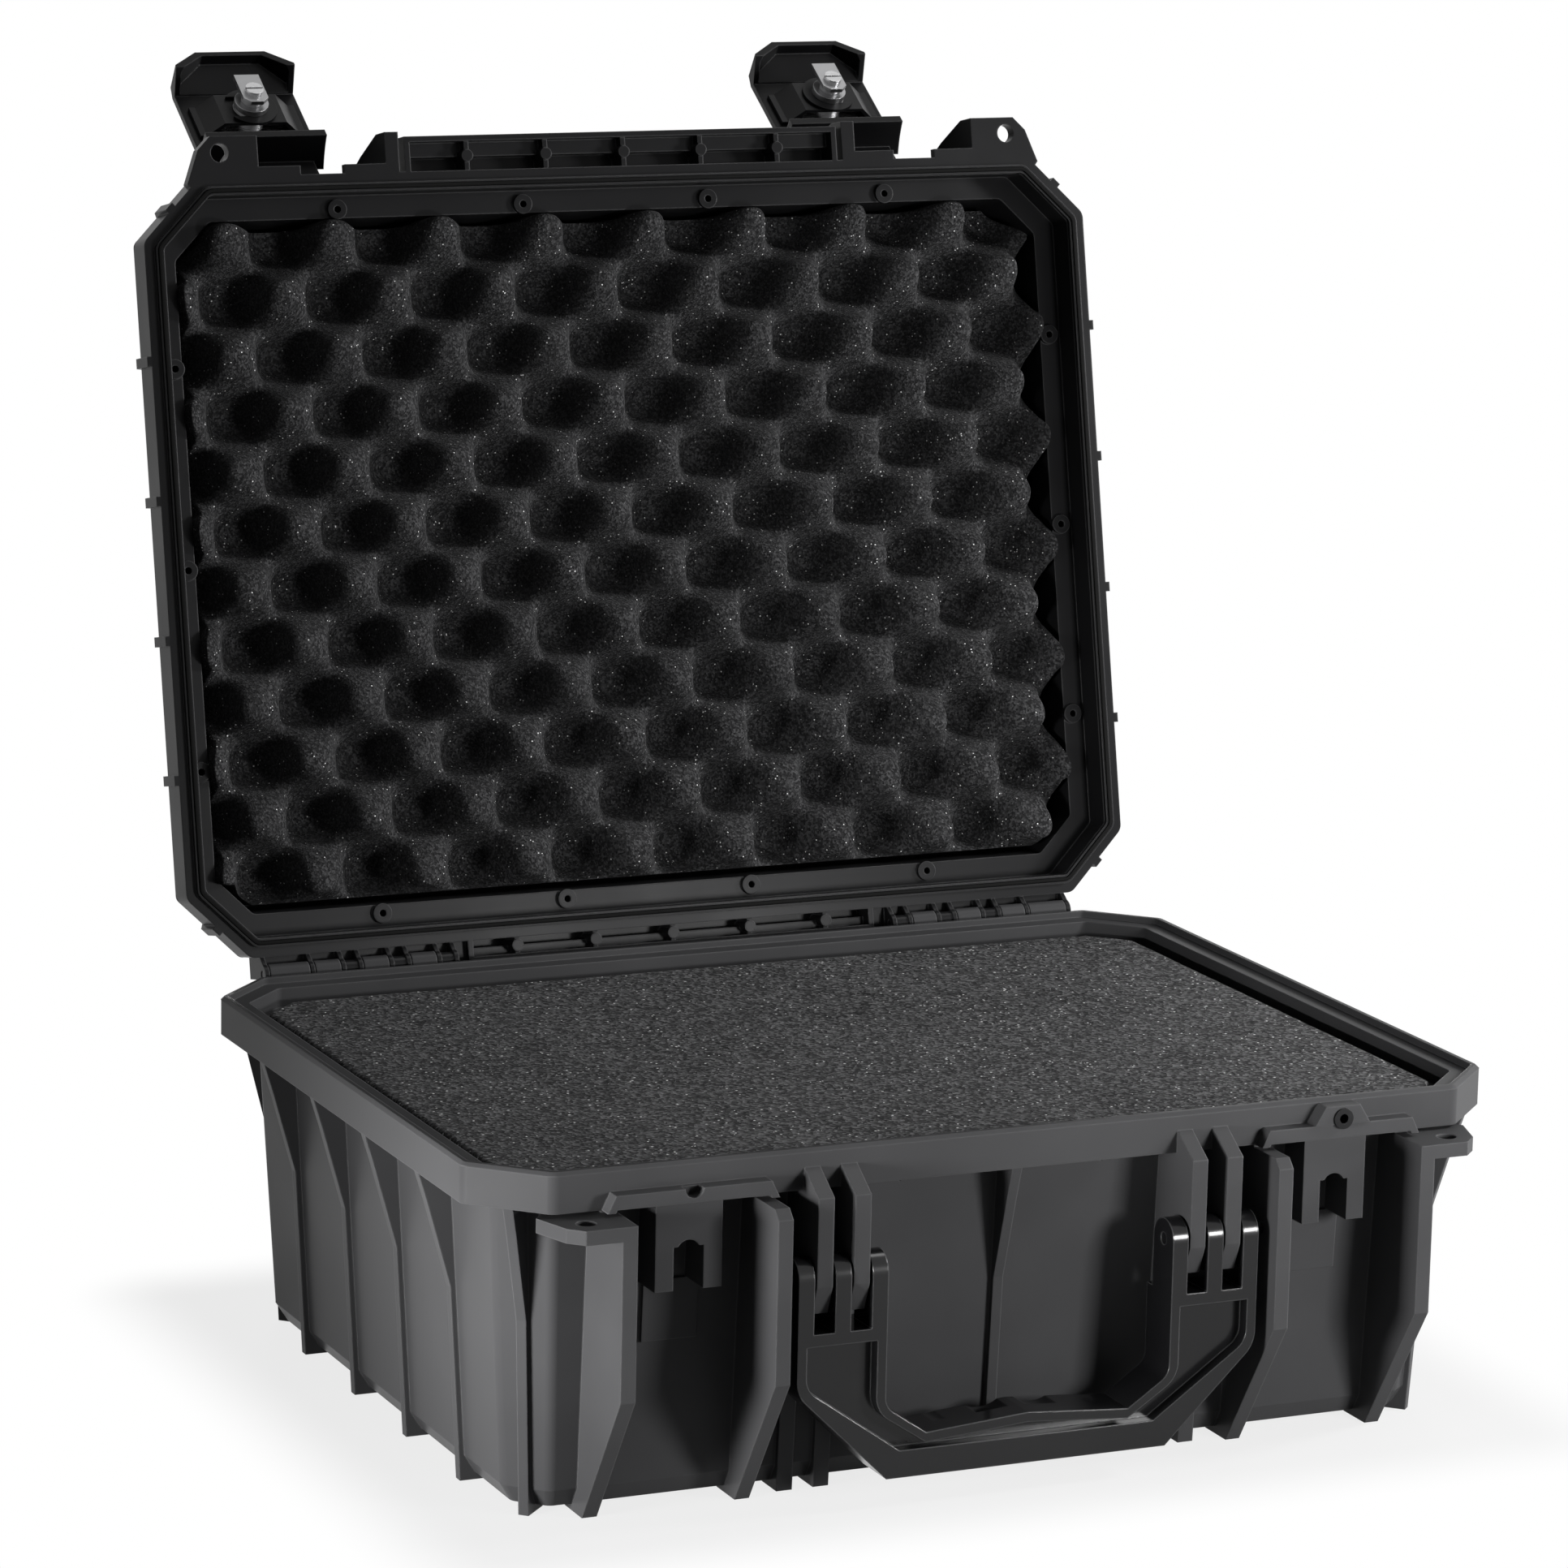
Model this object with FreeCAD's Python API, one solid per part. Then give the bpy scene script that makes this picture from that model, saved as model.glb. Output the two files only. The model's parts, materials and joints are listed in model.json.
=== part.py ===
"""Hard case with a hinged lid, two keyed latches, a swing handle and foam lining.

Sizes are millimetres. X runs along the length, the front with the handle faces
-Y and Z is up. The origin is the middle of the footprint on the ground.
Every piece is drawn with the case shut. The lid, the latches and their locks are
then turned to the rest pose, with the lid open and both latches flipped up.
"""
import FreeCAD, Part
import os
from math import cos, radians, sin, sqrt
from FreeCAD import Vector

# Overall case
RIM_LENGTH = 465.0
RIM_WIDTH = 348.0
BASE_HEIGHT = 150.0
LID_HEIGHT = 50.0
CORNER_CUT = 28.0
CORNER_RADIUS = 6.0
INNER_RADIUS = 4.0
WALL = 4.0
SEAM_GAP = 0.4

# Base body and its rim
RIM_OVERHANG = 14.0
BASE_DRAFT = 9.0
GROUND_GAP = 3.0
BOTTOM_BEVEL = 8.0
BOTTOM_DRAW_IN = 5.0
RIM_BAND = 17.0
RIM_BEVEL = 1.5
APRON = 3.5
DECK = 5.0
LIP_WIDTH = 3.5
LIP_HEIGHT = 3.0
MOUTH_INSET = 11.8
MOUTH_DEPTH = 12.0
HOLLOW_WIDTH = 5.0
NOTCH_HANDLE_GAP = 22.0
NOTCH_WIDTH = 7.0
NOTCH_HEIGHT = 5.0
NOTCH_DEPTH = 2.5

# Ribs on the walls
SIDE_RIB_PITCH = 62.0
SIDE_RIB_END = 80.0
RIB_THICK = 4.5
RIB_RISE = 2.5
RIB_KNEE_DROP = 67.0
RIB_SHOULDER_DROP = 30.0
RIB_SHOULDER_BACK = 5.0
FOOT_LENGTH = 12.0
MIDDLE_FOOT = 40.0
BACK_RIB_PITCH = 40.0
BACK_RIB_END = 40.0

# Lid body
LID_BAND = 18.0
LID_STEP = 11.0
LID_DRAFT = 6.0
LID_BEVEL = 2.5
LID_MOUTH = 8.6
LEDGE_DEPTH = 15.0
LEDGE_WIDTH = 10.2
SEAL_RIB_INSET = 4.6
SEAL_RIB_WIDTH = 3.8
SEAL_RIB_HEIGHT = 2.4
GROOVE_WIDTH = 2.0
GROOVE_DEPTH = 5.0
GASKET_GAP = 0.3
GASKET_SIDE_GAP = 0.2
TOP_FRAME_INSET = 27.0
TOP_FRAME_WIDTH = 8.0
TOP_FRAME_RISE = 2.5
LID_RIB_PROUD = 2.0
LID_RIB_REACH = 40.0

# Screw bosses on the lid ledge
BOSS_INSET = 15.0
BOSS_RADIUS = 4.5
BOSS_RISE = 2.0
BOSS_HOLE_RADIUS = 1.6
BOSS_HOLE_DEPTH = 10.0
BOSS_LONG_NEAR = 46.0
BOSS_LATCH_GAP = 10.5
BOSS_SHORT_PITCH = 90.0
BOSS_SHORT_END = 80.0

# Foam
FOAM_CLEARANCE = 0.8
BASE_FOAM_DROP = 7.0
FOAM_PAD_HEIGHT = 12.0
FOAM_LOWER_HEIGHT = 62.0
FOAM_SEAT_GAP = 0.3
LID_FOAM_SLAB = 17.0
EGG_HEIGHT = 24.0
EGG_PITCH = 50.0
EGG_ROW = 26.8
EGG_FOOT_RADIUS = 16.5
EGG_TIP_RADIUS = 7.0

# Lid hinge
HINGE_SETBACK = 7.8
HINGE_DROP = 1.5
HINGE_OPEN = 101.8
HINGE_CORNER_GAP = 4.3
HINGE_TAIL = 23.5
HINGE_PITCH = 22.9
HINGE_PAIRS = 3
LID_KNUCKLE_WIDTH = 10.2
GUSSET_THICK = 2.0
KNUCKLE_GAP = 0.45
KNUCKLE_RADIUS = 4.6
LID_BARREL_RADIUS = 3.7
KNUCKLE_TANGENT = 30.0
GUSSET_TOE = 15.0
HINGE_PIN_RADIUS = 1.9
PIN_CLEARANCE = 0.06
PIN_SHY = 0.3
STOP_CLEARANCE = 0.3

# Beams along the lid edge
FRONT_BEAM_GAP = 6.0
FRONT_BEAM_REACH = 15.8
BACK_BEAM_GAP = 7.0
BACK_BEAM_REACH = 10.0
BEAM_HEIGHT = 15.0
BEAM_WALL = 2.6
BEAM_RIB = 2.4
BEAM_RIB_PITCH = 38.4
BEAM_RIB_END = 20.0
BEAM_RIB_RECESS = 1.0
BEAM_STEP_WIDTH = 7.0
BEAM_STEP_DEPTH = 6.0
BEAM_PEG_RADIUS = 2.8
HINGE_BAR_RISE = 3.2

# Fins, ears and keeper rails of the latch bays
LATCH_SETBACK = 86.0
FIN_SPREAD = 67.0
FIN_THICK = 6.5
FIN_REACH = 21.0
FIN_TOP_DROP = 18.5
FIN_TOP_BEVEL = 4.0
FIN_KNEE_DROP = 91.0
FIN_FOOT_REACH = -17.0
LID_FIN_REACH = 18.0
LID_FIN_STRAIGHT = 11.0
LID_FIN_MID_REACH = 10.0
LID_FIN_MID_RISE = 33.0
LID_FIN_TOP_REACH = 5.0
LID_FIN_TOP_RISE = 44.0
EAR_THICK = 6.0
EAR_HOLE_OUT = 14.6
EAR_HOLE_REACH = 10.5
EAR_HOLE_RADIUS = 4.2
RAIL_LENGTH = 67.4
RAIL_REACH = 6.5
RAIL_TOP_DROP = 9.8
RAIL_TAB = 3.5
RAIL_NOTCH_RADIUS = 4.0
LID_LIP_REACH = 4.0
LID_LIP_HEIGHT = 4.0
LID_LIP_GAP = 21.0

# Pressure vent in the right keeper rail
VENT_BASE_HALF = 13.0
VENT_TOP_HALF = 8.0
VENT_TOP_DROP = 1.7
VENT_DROP = 7.2
VENT_PROUD = 0.8
VENT_BORE = 3.2
VENT_GAP = 0.05
VENT_SLEEVE_WALL = 1.2
VENT_SLEEVE_LENGTH = 12.0
VENT_FLANGE_RADIUS = 4.4
VENT_FLANGE_THICK = 0.9
VENT_MEMBRANE = 0.8

# Lock strike under each rail
STRIKE_REACH = 1.4
STRIKE_PLATE = 2.3
STRIKE_GAP = 13.0
STRIKE_POST = 8.0
STRIKE_POST_DROP = 53.0
STRIKE_PLATE_DROP = 35.0
STRIKE_ARCH_RADIUS = 5.2
STRIKE_ARCH_DROP = 37.5
STRIKE_PANEL_DROP = 79.0
STRIKE_PANEL_HALF = 12.0
STRIKE_PANEL_RISE = 1.5

# Latch
LATCH_PIVOT_REACH = -5.0
LATCH_PIVOT_RISE = 32.0
LATCH_OPEN = 135.6
LATCH_SIDE_GAP = 1.25
LATCH_BARREL_RADIUS = 5.5
LATCH_PIN_RADIUS = 2.4
LATCH_HEEL = 8.3
LEAF_HALF = 24.0
LEAF_THICK = 3.5
LEAF_SHOULDER_REACH = 6.5
LEAF_SHOULDER_RISE = 31.0
COVER_REACH = 18.0
COVER_DEPTH = 16.0
COVER_SKIN = 3.0
COVER_WALL = 2.6
COVER_END_DROP = 80.0
COVER_END_HALF = 17.0
COVER_END_CUT = 9.0
COVER_END_SLOPE = 8.0
CHEEK_RIM = 10.0
CHEEK_FLOOR = 16.0
HOOK_RADIUS = 49.5
HOOK_CLEARANCE = 0.4
HOOK_THICK = 4.0

# Lock in each latch
LOCK_DROP = 43.0
HOUSING_RADIUS = 8.0
HOUSING_FIT = 0.1
HOUSING_FLANGE_RADIUS = 11.5
HOUSING_FLANGE = 1.8
HOUSING_END_REACH = 2.1
WASHER_RADIUS = 17.0
WASHER_THICK = 2.4
SEAT_GAP = 0.2
BRACKET_WIDTH = 21.0
BRACKET_THICK = 1.6
BRACKET_TOP_HALF = 15.0
BRACKET_LEG_HALF = 22.5
BRACKET_FOOT_HALF = 25.5
BRACKET_RISE = 8.5
CLIP_RADIUS = 12.5
CLIP_THICK = 1.2
CLIP_GROOVE = 0.9
PLUG_RADIUS = 5.0
PLUG_RUN = 0.08
PLUG_PROUD = 0.5
PLUG_NECK_RADIUS = 3.4
KEY_SLOT_WIDTH = 1.4
KEY_SLOT_LENGTH = 7.0
KEY_SLOT_DEPTH = 6.0
CAM_FACE_REACH = -1.3
CAM_THICK = 2.0
CAM_TIP = 13.0
CAM_TAIL = 7.0
CAM_HALF = 6.0
CAM_BORE_GAP = 0.1
CAM_CORNER = 3.0
CAM_SCREW_HEAD = 4.2
CAM_SCREW_HEAD_THICK = 2.4
CAM_SCREW_SHANK = 1.8
CAM_SCREW_LENGTH = 8.0
CAM_SCREW_SLOT = 1.2

# Handle
HANDLE_PIVOT_REACH = 6.6
HANDLE_PIVOT_DROP = 51.0
HANDLE_KNUCKLE_RADIUS = 8.7
HANDLE_SIDE_GAP = 5.65
HANDLE_PITCH = 8.15
HANDLE_STEPS = 4
HANDLE_TONGUE = 7.0
HANDLE_PIN_RADIUS = 2.5
HANDLE_DEPTH = 22.0
HANDLE_STRAIGHT = 24.8
HANDLE_KNEE_RUN = 40.6
HANDLE_GROUND_GAP = 12.5
HANDLE_EYE_RISE = 12.5
HANDLE_EYE_RUN = 18.5
HANDLE_GRIP_HEIGHT = 18.0
HANDLE_ARCH = 3.5
HANDLE_BAR_TOP_DROP = 73.2
HANDLE_BAR_HEIGHT = 5.2
HANDLE_BORDER = 4.2
HANDLE_KNEE_RADIUS = 14.0
HANDLE_EYE_RADIUS = 8.0
HANDLE_POCKET = 6.0
HANDLE_LEDGE = 11.5
HANDLE_FINGER_END = 8.0
HANDLE_FINGER_PITCH = 24.0
HANDLE_FINGER_RADIUS = 14.0
HANDLE_FINGER_DEPTH = 3.0

# Handle lugs on the base
LUG_REACH = 14.6
LUG_TOP_DROP = 17.0
LUG_ROOT_DROP = 6.5
LUG_CHIN_DROP = 54.0
LUG_CHIN_REACH = 10.0
LUG_END_DROP = 66.0
LUG_HEEL_REACH = -8.0

RIM_Z = BASE_HEIGHT
LID_Z = RIM_Z + SEAM_GAP
LID_TOP = RIM_Z + LID_HEIGHT
LID_STEP_Z = LID_Z + LID_BAND
LEDGE_Z = LID_Z + LEDGE_DEPTH
HALF_LENGTH = RIM_LENGTH / 2
HALF_WIDTH = RIM_WIDTH / 2
HINGE_Y = HALF_WIDTH + HINGE_SETBACK
HINGE_Z = RIM_Z - HINGE_DROP
X_AXIS = Vector(1, 0, 0)
Y_AXIS = Vector(0, 1, 0)
Z_AXIS = Vector(0, 0, 1)


def front(reach):
    """Y of a point this far outside the front rim edge."""
    return -(HALF_WIDTH + reach)


# Places along the length, from the rim's end inward
LATCH_X = HALF_LENGTH - LATCH_SETBACK
EAR_HOLE_X = LATCH_X + FIN_SPREAD / 2 + EAR_HOLE_OUT
HINGE_END = HALF_LENGTH - CORNER_CUT - HINGE_CORNER_GAP
HINGE_START = HINGE_END - HINGE_TAIL - HINGE_PAIRS * HINGE_PITCH
BACK_BEAM_HALF = HINGE_START - BACK_BEAM_GAP
FRONT_BEAM_HALF = LATCH_X - FIN_SPREAD / 2 - FRONT_BEAM_GAP
HANDLE_HALF = LATCH_X - (FIN_SPREAD + FIN_THICK) / 2 - HANDLE_SIDE_GAP
HANDLE_FIRST_KNUCKLE = HANDLE_HALF - HANDLE_TONGUE / 2 - HANDLE_STEPS * HANDLE_PITCH
HANDLE_GRIP_HALF = HANDLE_HALF - HANDLE_KNEE_RUN
HANDLE_EYE_CORNER = HANDLE_FIRST_KNUCKLE - HANDLE_TONGUE / 2 - HANDLE_EYE_RUN
NOTCH_X = HANDLE_FIRST_KNUCKLE - NOTCH_HANDLE_GAP
BOSS_LONG_FAR = LATCH_X - BOSS_LATCH_GAP

# Heights of the handle, from the ground or from its bar
HANDLE_LOW = HANDLE_GROUND_GAP
HANDLE_EYE_LOW = HANDLE_LOW + HANDLE_GRIP_HEIGHT
HANDLE_EYE_SIDE = HANDLE_EYE_LOW + HANDLE_EYE_RISE
HANDLE_BAR_TOP = RIM_Z - HANDLE_BAR_TOP_DROP

LATCH_Y = front(LATCH_PIVOT_REACH)
LATCH_Z = RIM_Z + LATCH_PIVOT_RISE
LOCK_Z = RIM_Z - LOCK_DROP
HANDLE_Y = front(HANDLE_PIVOT_REACH)
HANDLE_Z = RIM_Z - HANDLE_PIVOT_DROP
COVER_HALF = (FIN_SPREAD - FIN_THICK) / 2 - LATCH_SIDE_GAP


def prism(points, draw):
    """Solid drawn out from a closed run of corner points."""
    return Part.Face(Part.makePolygon(points + points[:1])).extrude(draw)


def prism_x(profile, x0, x1):
    """Solid along X from (y, z) corners."""
    return prism([Vector(x0, y, z) for y, z in profile], Vector(x1 - x0, 0, 0))


def prism_y(profile, y0, y1):
    """Solid along Y from (x, z) corners."""
    return prism([Vector(x, y0, z) for x, z in profile], Vector(0, y1 - y0, 0))


def prism_z(profile, z0, z1):
    """Solid along Z from (x, y) corners."""
    return prism([Vector(x, y, z0) for x, y in profile], Vector(0, 0, z1 - z0))


def block(x0, x1, y0, y1, z0, z1):
    """Box between two opposite corners."""
    return Part.makeBox(x1 - x0, y1 - y0, z1 - z0, Vector(x0, y0, z0))


def rod_x(radius, x0, x1, y, z):
    """Round bar along X."""
    return Part.makeCylinder(radius, x1 - x0, Vector(x0, y, z), X_AXIS)


def rod_y(radius, y0, y1, x, z):
    """Round bar along Y."""
    return Part.makeCylinder(radius, y1 - y0, Vector(x, y0, z), Y_AXIS)


def rod_z(radius, z0, z1, x, y):
    """Round bar along Z."""
    return Part.makeCylinder(radius, z1 - z0, Vector(x, y, z0), Z_AXIS)


def joined(shapes):
    """One solid from shapes that overlap."""
    return shapes[0].multiFuse(shapes[1:]).removeSplitter()


def mirrored(shape):
    """The same shape on the other side of the middle plane."""
    return shape.mirror(Vector(0, 0, 0), X_AXIS)


def both_sides(shapes):
    """Shapes of the right side together with their mirror images."""
    return shapes + [mirrored(shape) for shape in shapes]


def outline(inset, z):
    """Eight-sided wire parallel to the rim edge and inset from it."""
    x = HALF_LENGTH - inset
    y = HALF_WIDTH - inset
    cut = CORNER_CUT - inset * (2 - sqrt(2))
    quarter = [(x, y - cut), (x - cut, y)]
    ring = quarter + [(-a, b) for a, b in reversed(quarter)]
    ring += [(-a, -b) for a, b in ring]
    points = [Vector(a, b, z) for a, b in ring]
    return Part.makePolygon(points + points[:1])


def tier(low_inset, low_z, high_inset, high_z, radius=CORNER_RADIUS):
    """Tapered eight-sided block with rounded upright edges."""
    solid = Part.makeLoft([outline(low_inset, low_z), outline(high_inset, high_z)], True, True)
    upright = [e for e in solid.Edges if abs(e.Vertexes[0].Z - e.Vertexes[-1].Z) > 0.1]
    return solid.makeFillet(radius, upright)


def ring(outer_inset, inner_inset, low_z, high_z):
    """Frame between two outlines."""
    hole = tier(inner_inset, low_z - 1, inner_inset, high_z + 1, INNER_RADIUS)
    return tier(outer_inset, low_z, outer_inset, high_z).cut(hole)


def wall_inset(z):
    """How far the base wall stands inside the rim edge at this height."""
    return RIM_OVERHANG + BASE_DRAFT * (RIM_Z - z) / (RIM_Z - GROUND_GAP)


def lid_inset(z):
    """How far the lid wall stands inside the rim edge at this height."""
    return LID_STEP + LID_DRAFT * (z - LID_STEP_Z) / (LID_TOP - LID_STEP_Z)


def wall_plate(profile, thick, x, y, turn):
    """Plate standing out of a wall, from (outward, z) corners measured from the rim edge."""
    plate = prism_y(profile, -thick / 2, thick / 2)
    plate.rotate(Vector(0, 0, 0), Z_AXIS, turn)
    plate.translate(Vector(x, y, 0))
    return plate


def spaced(pitch, count):
    """Positions with this pitch, centred on zero."""
    return [(i - (count - 1) / 2) * pitch for i in range(count)]


def fitted(pitch, run):
    """Positions with this pitch, centred on zero, as many as the run holds."""
    return spaced(pitch, 1 + int(run / pitch))


def root_run():
    """Inner end of a base plate: under the floor, then up inside the wall."""
    bevel_top = GROUND_GAP + BOTTOM_BEVEL
    foot_back = -wall_inset(0) - FOOT_LENGTH
    return [
        (foot_back, 0),
        (foot_back, GROUND_GAP + WALL / 2),
        (-wall_inset(bevel_top) - WALL / 2, bevel_top),
        (-RIM_OVERHANG - WALL / 2, RIM_Z - RIM_BAND),
        (-MOUTH_INSET + WALL / 2, RIM_Z - MOUTH_DEPTH),
        (-MOUTH_INSET + WALL / 2, RIM_Z - LIP_HEIGHT - DECK / 2),
    ]


def base_rib_profile():
    """Gusset under the rim that runs out into a low rib down to the ground."""
    knee = RIM_Z - RIB_KNEE_DROP
    return root_run() + [
        (-APRON / 2, RIM_Z - LIP_HEIGHT - DECK / 2),
        (-APRON / 4, RIM_Z - RIM_BAND),
        (-RIB_SHOULDER_BACK, RIM_Z - RIB_SHOULDER_DROP),
        (RIB_RISE - wall_inset(knee), knee),
        (RIB_RISE - wall_inset(0), 0),
    ]


def corner_spots():
    """Middle of each cut corner of the rim with its outward turn."""
    x = HALF_LENGTH - CORNER_CUT / 2
    y = HALF_WIDTH - CORNER_CUT / 2
    return [(x, y, 45), (-x, y, 135), (-x, -y, 225), (x, -y, 315)]


def side_plates(profile, thick):
    """Equal plates along both short sides and on each cut corner."""
    plates = [wall_plate(profile, thick, *spot) for spot in corner_spots()]
    for y in fitted(SIDE_RIB_PITCH, RIM_WIDTH - 2 * SIDE_RIB_END):
        plates.append(wall_plate(profile, thick, HALF_LENGTH, y, 0))
        plates.append(wall_plate(profile, thick, -HALF_LENGTH, y, 180))
    return plates


def back_rib_spots():
    """X of the ribs between the two hinges."""
    return fitted(BACK_RIB_PITCH, 2 * (BACK_BEAM_HALF - BACK_RIB_END))


def base_ribs():
    """Ribs on the sides, the corners, the back and the middle of the front."""
    profile = base_rib_profile()
    ribs = side_plates(profile, RIB_THICK)
    for x in back_rib_spots():
        ribs.append(wall_plate(profile, RIB_THICK, x, HALF_WIDTH, 90))
    ribs.append(wall_plate(profile, RIB_THICK, 0, -HALF_WIDTH, 270))
    return ribs


def base_body():
    """Tapered tub with its hollow rim band, before the cavity is cut."""
    bevel_top = GROUND_GAP + BOTTOM_BEVEL
    tub = tier(wall_inset(bevel_top), bevel_top, RIM_OVERHANG, RIM_Z)
    floor = tier(wall_inset(bevel_top) + BOTTOM_DRAW_IN, GROUND_GAP, wall_inset(bevel_top), bevel_top)
    band = tier(0, RIM_Z - RIM_BAND, 0, RIM_Z - RIM_BEVEL)
    bevel = tier(0, RIM_Z - RIM_BEVEL, RIM_BEVEL, RIM_Z)
    hollow = ring(APRON, APRON + HOLLOW_WIDTH, RIM_Z - RIM_BAND - 1, RIM_Z - LIP_HEIGHT - DECK)
    foot = block(-MIDDLE_FOOT, MIDDLE_FOOT, -MIDDLE_FOOT, MIDDLE_FOOT, 0, GROUND_GAP + WALL / 2)
    return joined([band.fuse(bevel).cut(hollow), tub, floor, foot])


def base_inside():
    """Cavity of the tub, its wider mouth and the step behind the rim lip."""
    low = GROUND_GAP + WALL
    cavity = tier(wall_inset(low) + WALL, low, RIM_OVERHANG + WALL, RIM_Z, INNER_RADIUS)
    mouth = tier(MOUTH_INSET, RIM_Z - MOUTH_DEPTH, MOUTH_INSET, RIM_Z, INNER_RADIUS)
    step = tier(LIP_WIDTH, RIM_Z - LIP_HEIGHT, LIP_WIDTH, RIM_Z + 1, INNER_RADIUS)
    return [cavity, mouth, step]


def wall_notches():
    """Small triangular pockets in the front wall under the rim band."""
    top = RIM_Z - RIM_BAND
    face = wall_inset(top)
    cuts = []
    for x in (-NOTCH_X, NOTCH_X):
        corners = [(x - NOTCH_WIDTH, top), (x + NOTCH_WIDTH, top), (x, top - NOTCH_HEIGHT)]
        cuts.append(prism_y(corners, front(-face + NOTCH_DEPTH), front(-face - NOTCH_DEPTH)))
    return cuts


def base_fin_profile():
    """Side plate of a latch bay: straight front, tapering in below the knee."""
    top = RIM_Z - FIN_TOP_DROP
    return root_run() + [
        (-APRON / 2, RIM_Z - LIP_HEIGHT - DECK / 2),
        (-APRON / 2, top),
        (FIN_REACH - FIN_TOP_BEVEL, top),
        (FIN_REACH, top - FIN_TOP_BEVEL),
        (FIN_REACH, RIM_Z - FIN_KNEE_DROP),
        (FIN_FOOT_REACH, 0),
    ]


def ear_plate(z0, reach):
    """Padlock ear outside the outer fin of the right bay."""
    x = LATCH_X + FIN_SPREAD / 2 - FIN_THICK / 2
    tip = EAR_HOLE_X + EAR_HOLE_RADIUS
    rim_corner = HALF_LENGTH - CORNER_CUT
    corners = [
        (x, front(-RIM_OVERHANG - WALL)),
        (x, front(reach)),
        (tip, front(reach)),
        (tip + EAR_THICK, front(reach - EAR_THICK)),
        (rim_corner + EAR_THICK, front(-EAR_THICK / 2)),
        (rim_corner - EAR_THICK, front(-RIM_OVERHANG - WALL)),
    ]
    hole = rod_z(EAR_HOLE_RADIUS, z0 - 1, z0 + EAR_THICK + 1, EAR_HOLE_X, front(EAR_HOLE_REACH))
    return prism_z(corners, z0, z0 + EAR_THICK).cut(hole)


def keeper_rail():
    """Bar the hook catches under, with an underside that follows the hook's swing."""
    top = RIM_Z - RAIL_TOP_DROP
    half = RAIL_LENGTH / 2
    back = front(-APRON / 2)
    bar = block(LATCH_X - half, LATCH_X + half, front(RAIL_REACH), back, RIM_Z - 2 * RIM_BAND, top)
    swing = rod_x(HOOK_RADIUS - HOOK_CLEARANCE, LATCH_X - half, LATCH_X + half, LATCH_Y, LATCH_Z)
    tab = [
        (half - RAIL_TAB, top),
        (half, top),
        (half + RAIL_TAB, RIM_Z - RIM_BAND),
        (half, RIM_Z - RIM_BAND),
    ]
    tabs = [prism_y([(LATCH_X + s * x, z) for x, z in tab], front(RAIL_REACH), back) for s in (-1, 1)]
    return joined([bar.common(swing)] + tabs)


def strike():
    """Posts and arched plate that the lock cam turns behind."""
    top = RIM_Z - RIM_BAND + 1
    inner = STRIKE_GAP / 2
    face = front(STRIKE_REACH)
    root = front(-RIM_OVERHANG - WALL)
    posts = []
    for side in (-1, 1):
        x = LATCH_X + side * (inner + STRIKE_POST / 2)
        half = STRIKE_POST / 2
        posts.append(block(x - half, x + half, face, root, RIM_Z - STRIKE_POST_DROP, top))
    plate = block(LATCH_X - inner, LATCH_X + inner, face, face + STRIKE_PLATE,
                  RIM_Z - STRIKE_PLATE_DROP, top)
    arch = rod_y(STRIKE_ARCH_RADIUS, face - 1, face + STRIKE_PLATE + 1,
                 LATCH_X, RIM_Z - STRIKE_ARCH_DROP)
    panel_top = RIM_Z - STRIKE_POST_DROP
    panel_low = RIM_Z - STRIKE_PANEL_DROP
    panel = prism_x([
        (front(STRIKE_PANEL_RISE - wall_inset(panel_top)), panel_top),
        (front(STRIKE_PANEL_RISE - wall_inset(panel_low)), panel_low),
        (front(-wall_inset(panel_low) - WALL / 2), panel_low),
        (front(-wall_inset(panel_top) - WALL / 2), panel_top),
    ], LATCH_X - STRIKE_PANEL_HALF, LATCH_X + STRIKE_PANEL_HALF)
    return joined([plate.cut(arch)] + posts), panel


def handle_spots():
    """X of the three handle knuckles and the two base lugs of the right side."""
    run = [HANDLE_FIRST_KNUCKLE + i * HANDLE_PITCH for i in range(HANDLE_STEPS + 1)]
    return run[0::2], run[1::2]


def lug_profile():
    """Handle lug: gusset from the rim band, straight front, pointed lower end."""
    end = RIM_Z - LUG_END_DROP
    return root_run() + [
        (-APRON / 2, RIM_Z - LUG_ROOT_DROP),
        (LUG_REACH, RIM_Z - LUG_TOP_DROP),
        (LUG_REACH, RIM_Z - LUG_CHIN_DROP),
        (LUG_CHIN_REACH, end),
        (LUG_HEEL_REACH, end),
        (RIB_RISE - wall_inset(end - RIM_BAND), end - RIM_BAND),
        (RIB_RISE - wall_inset(0), 0),
    ]


def knuckle_point(turn):
    """Point of a hinge knuckle's round at an angle from straight back, as (y, z)."""
    return (HINGE_Y + KNUCKLE_RADIUS * cos(radians(turn)), HINGE_Z + KNUCKLE_RADIUS * sin(radians(turn)))


def knuckle_spans():
    """X ranges of the lid knuckles, the lone lid gussets and the base knuckles of the right hinge."""
    starts = [HINGE_START + i * HINGE_PITCH for i in range(HINGE_PAIRS)]
    lone = HINGE_START + HINGE_PAIRS * HINGE_PITCH
    lid = [(x, x + LID_KNUCKLE_WIDTH) for x in starts]
    gussets = [(lone, lone + GUSSET_THICK), (HINGE_END - GUSSET_THICK, HINGE_END)]
    fixed = lid + gussets
    base = [(a[1] + KNUCKLE_GAP, b[0] - KNUCKLE_GAP) for a, b in zip(fixed, fixed[1:])]
    return lid, gussets, base


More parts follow.
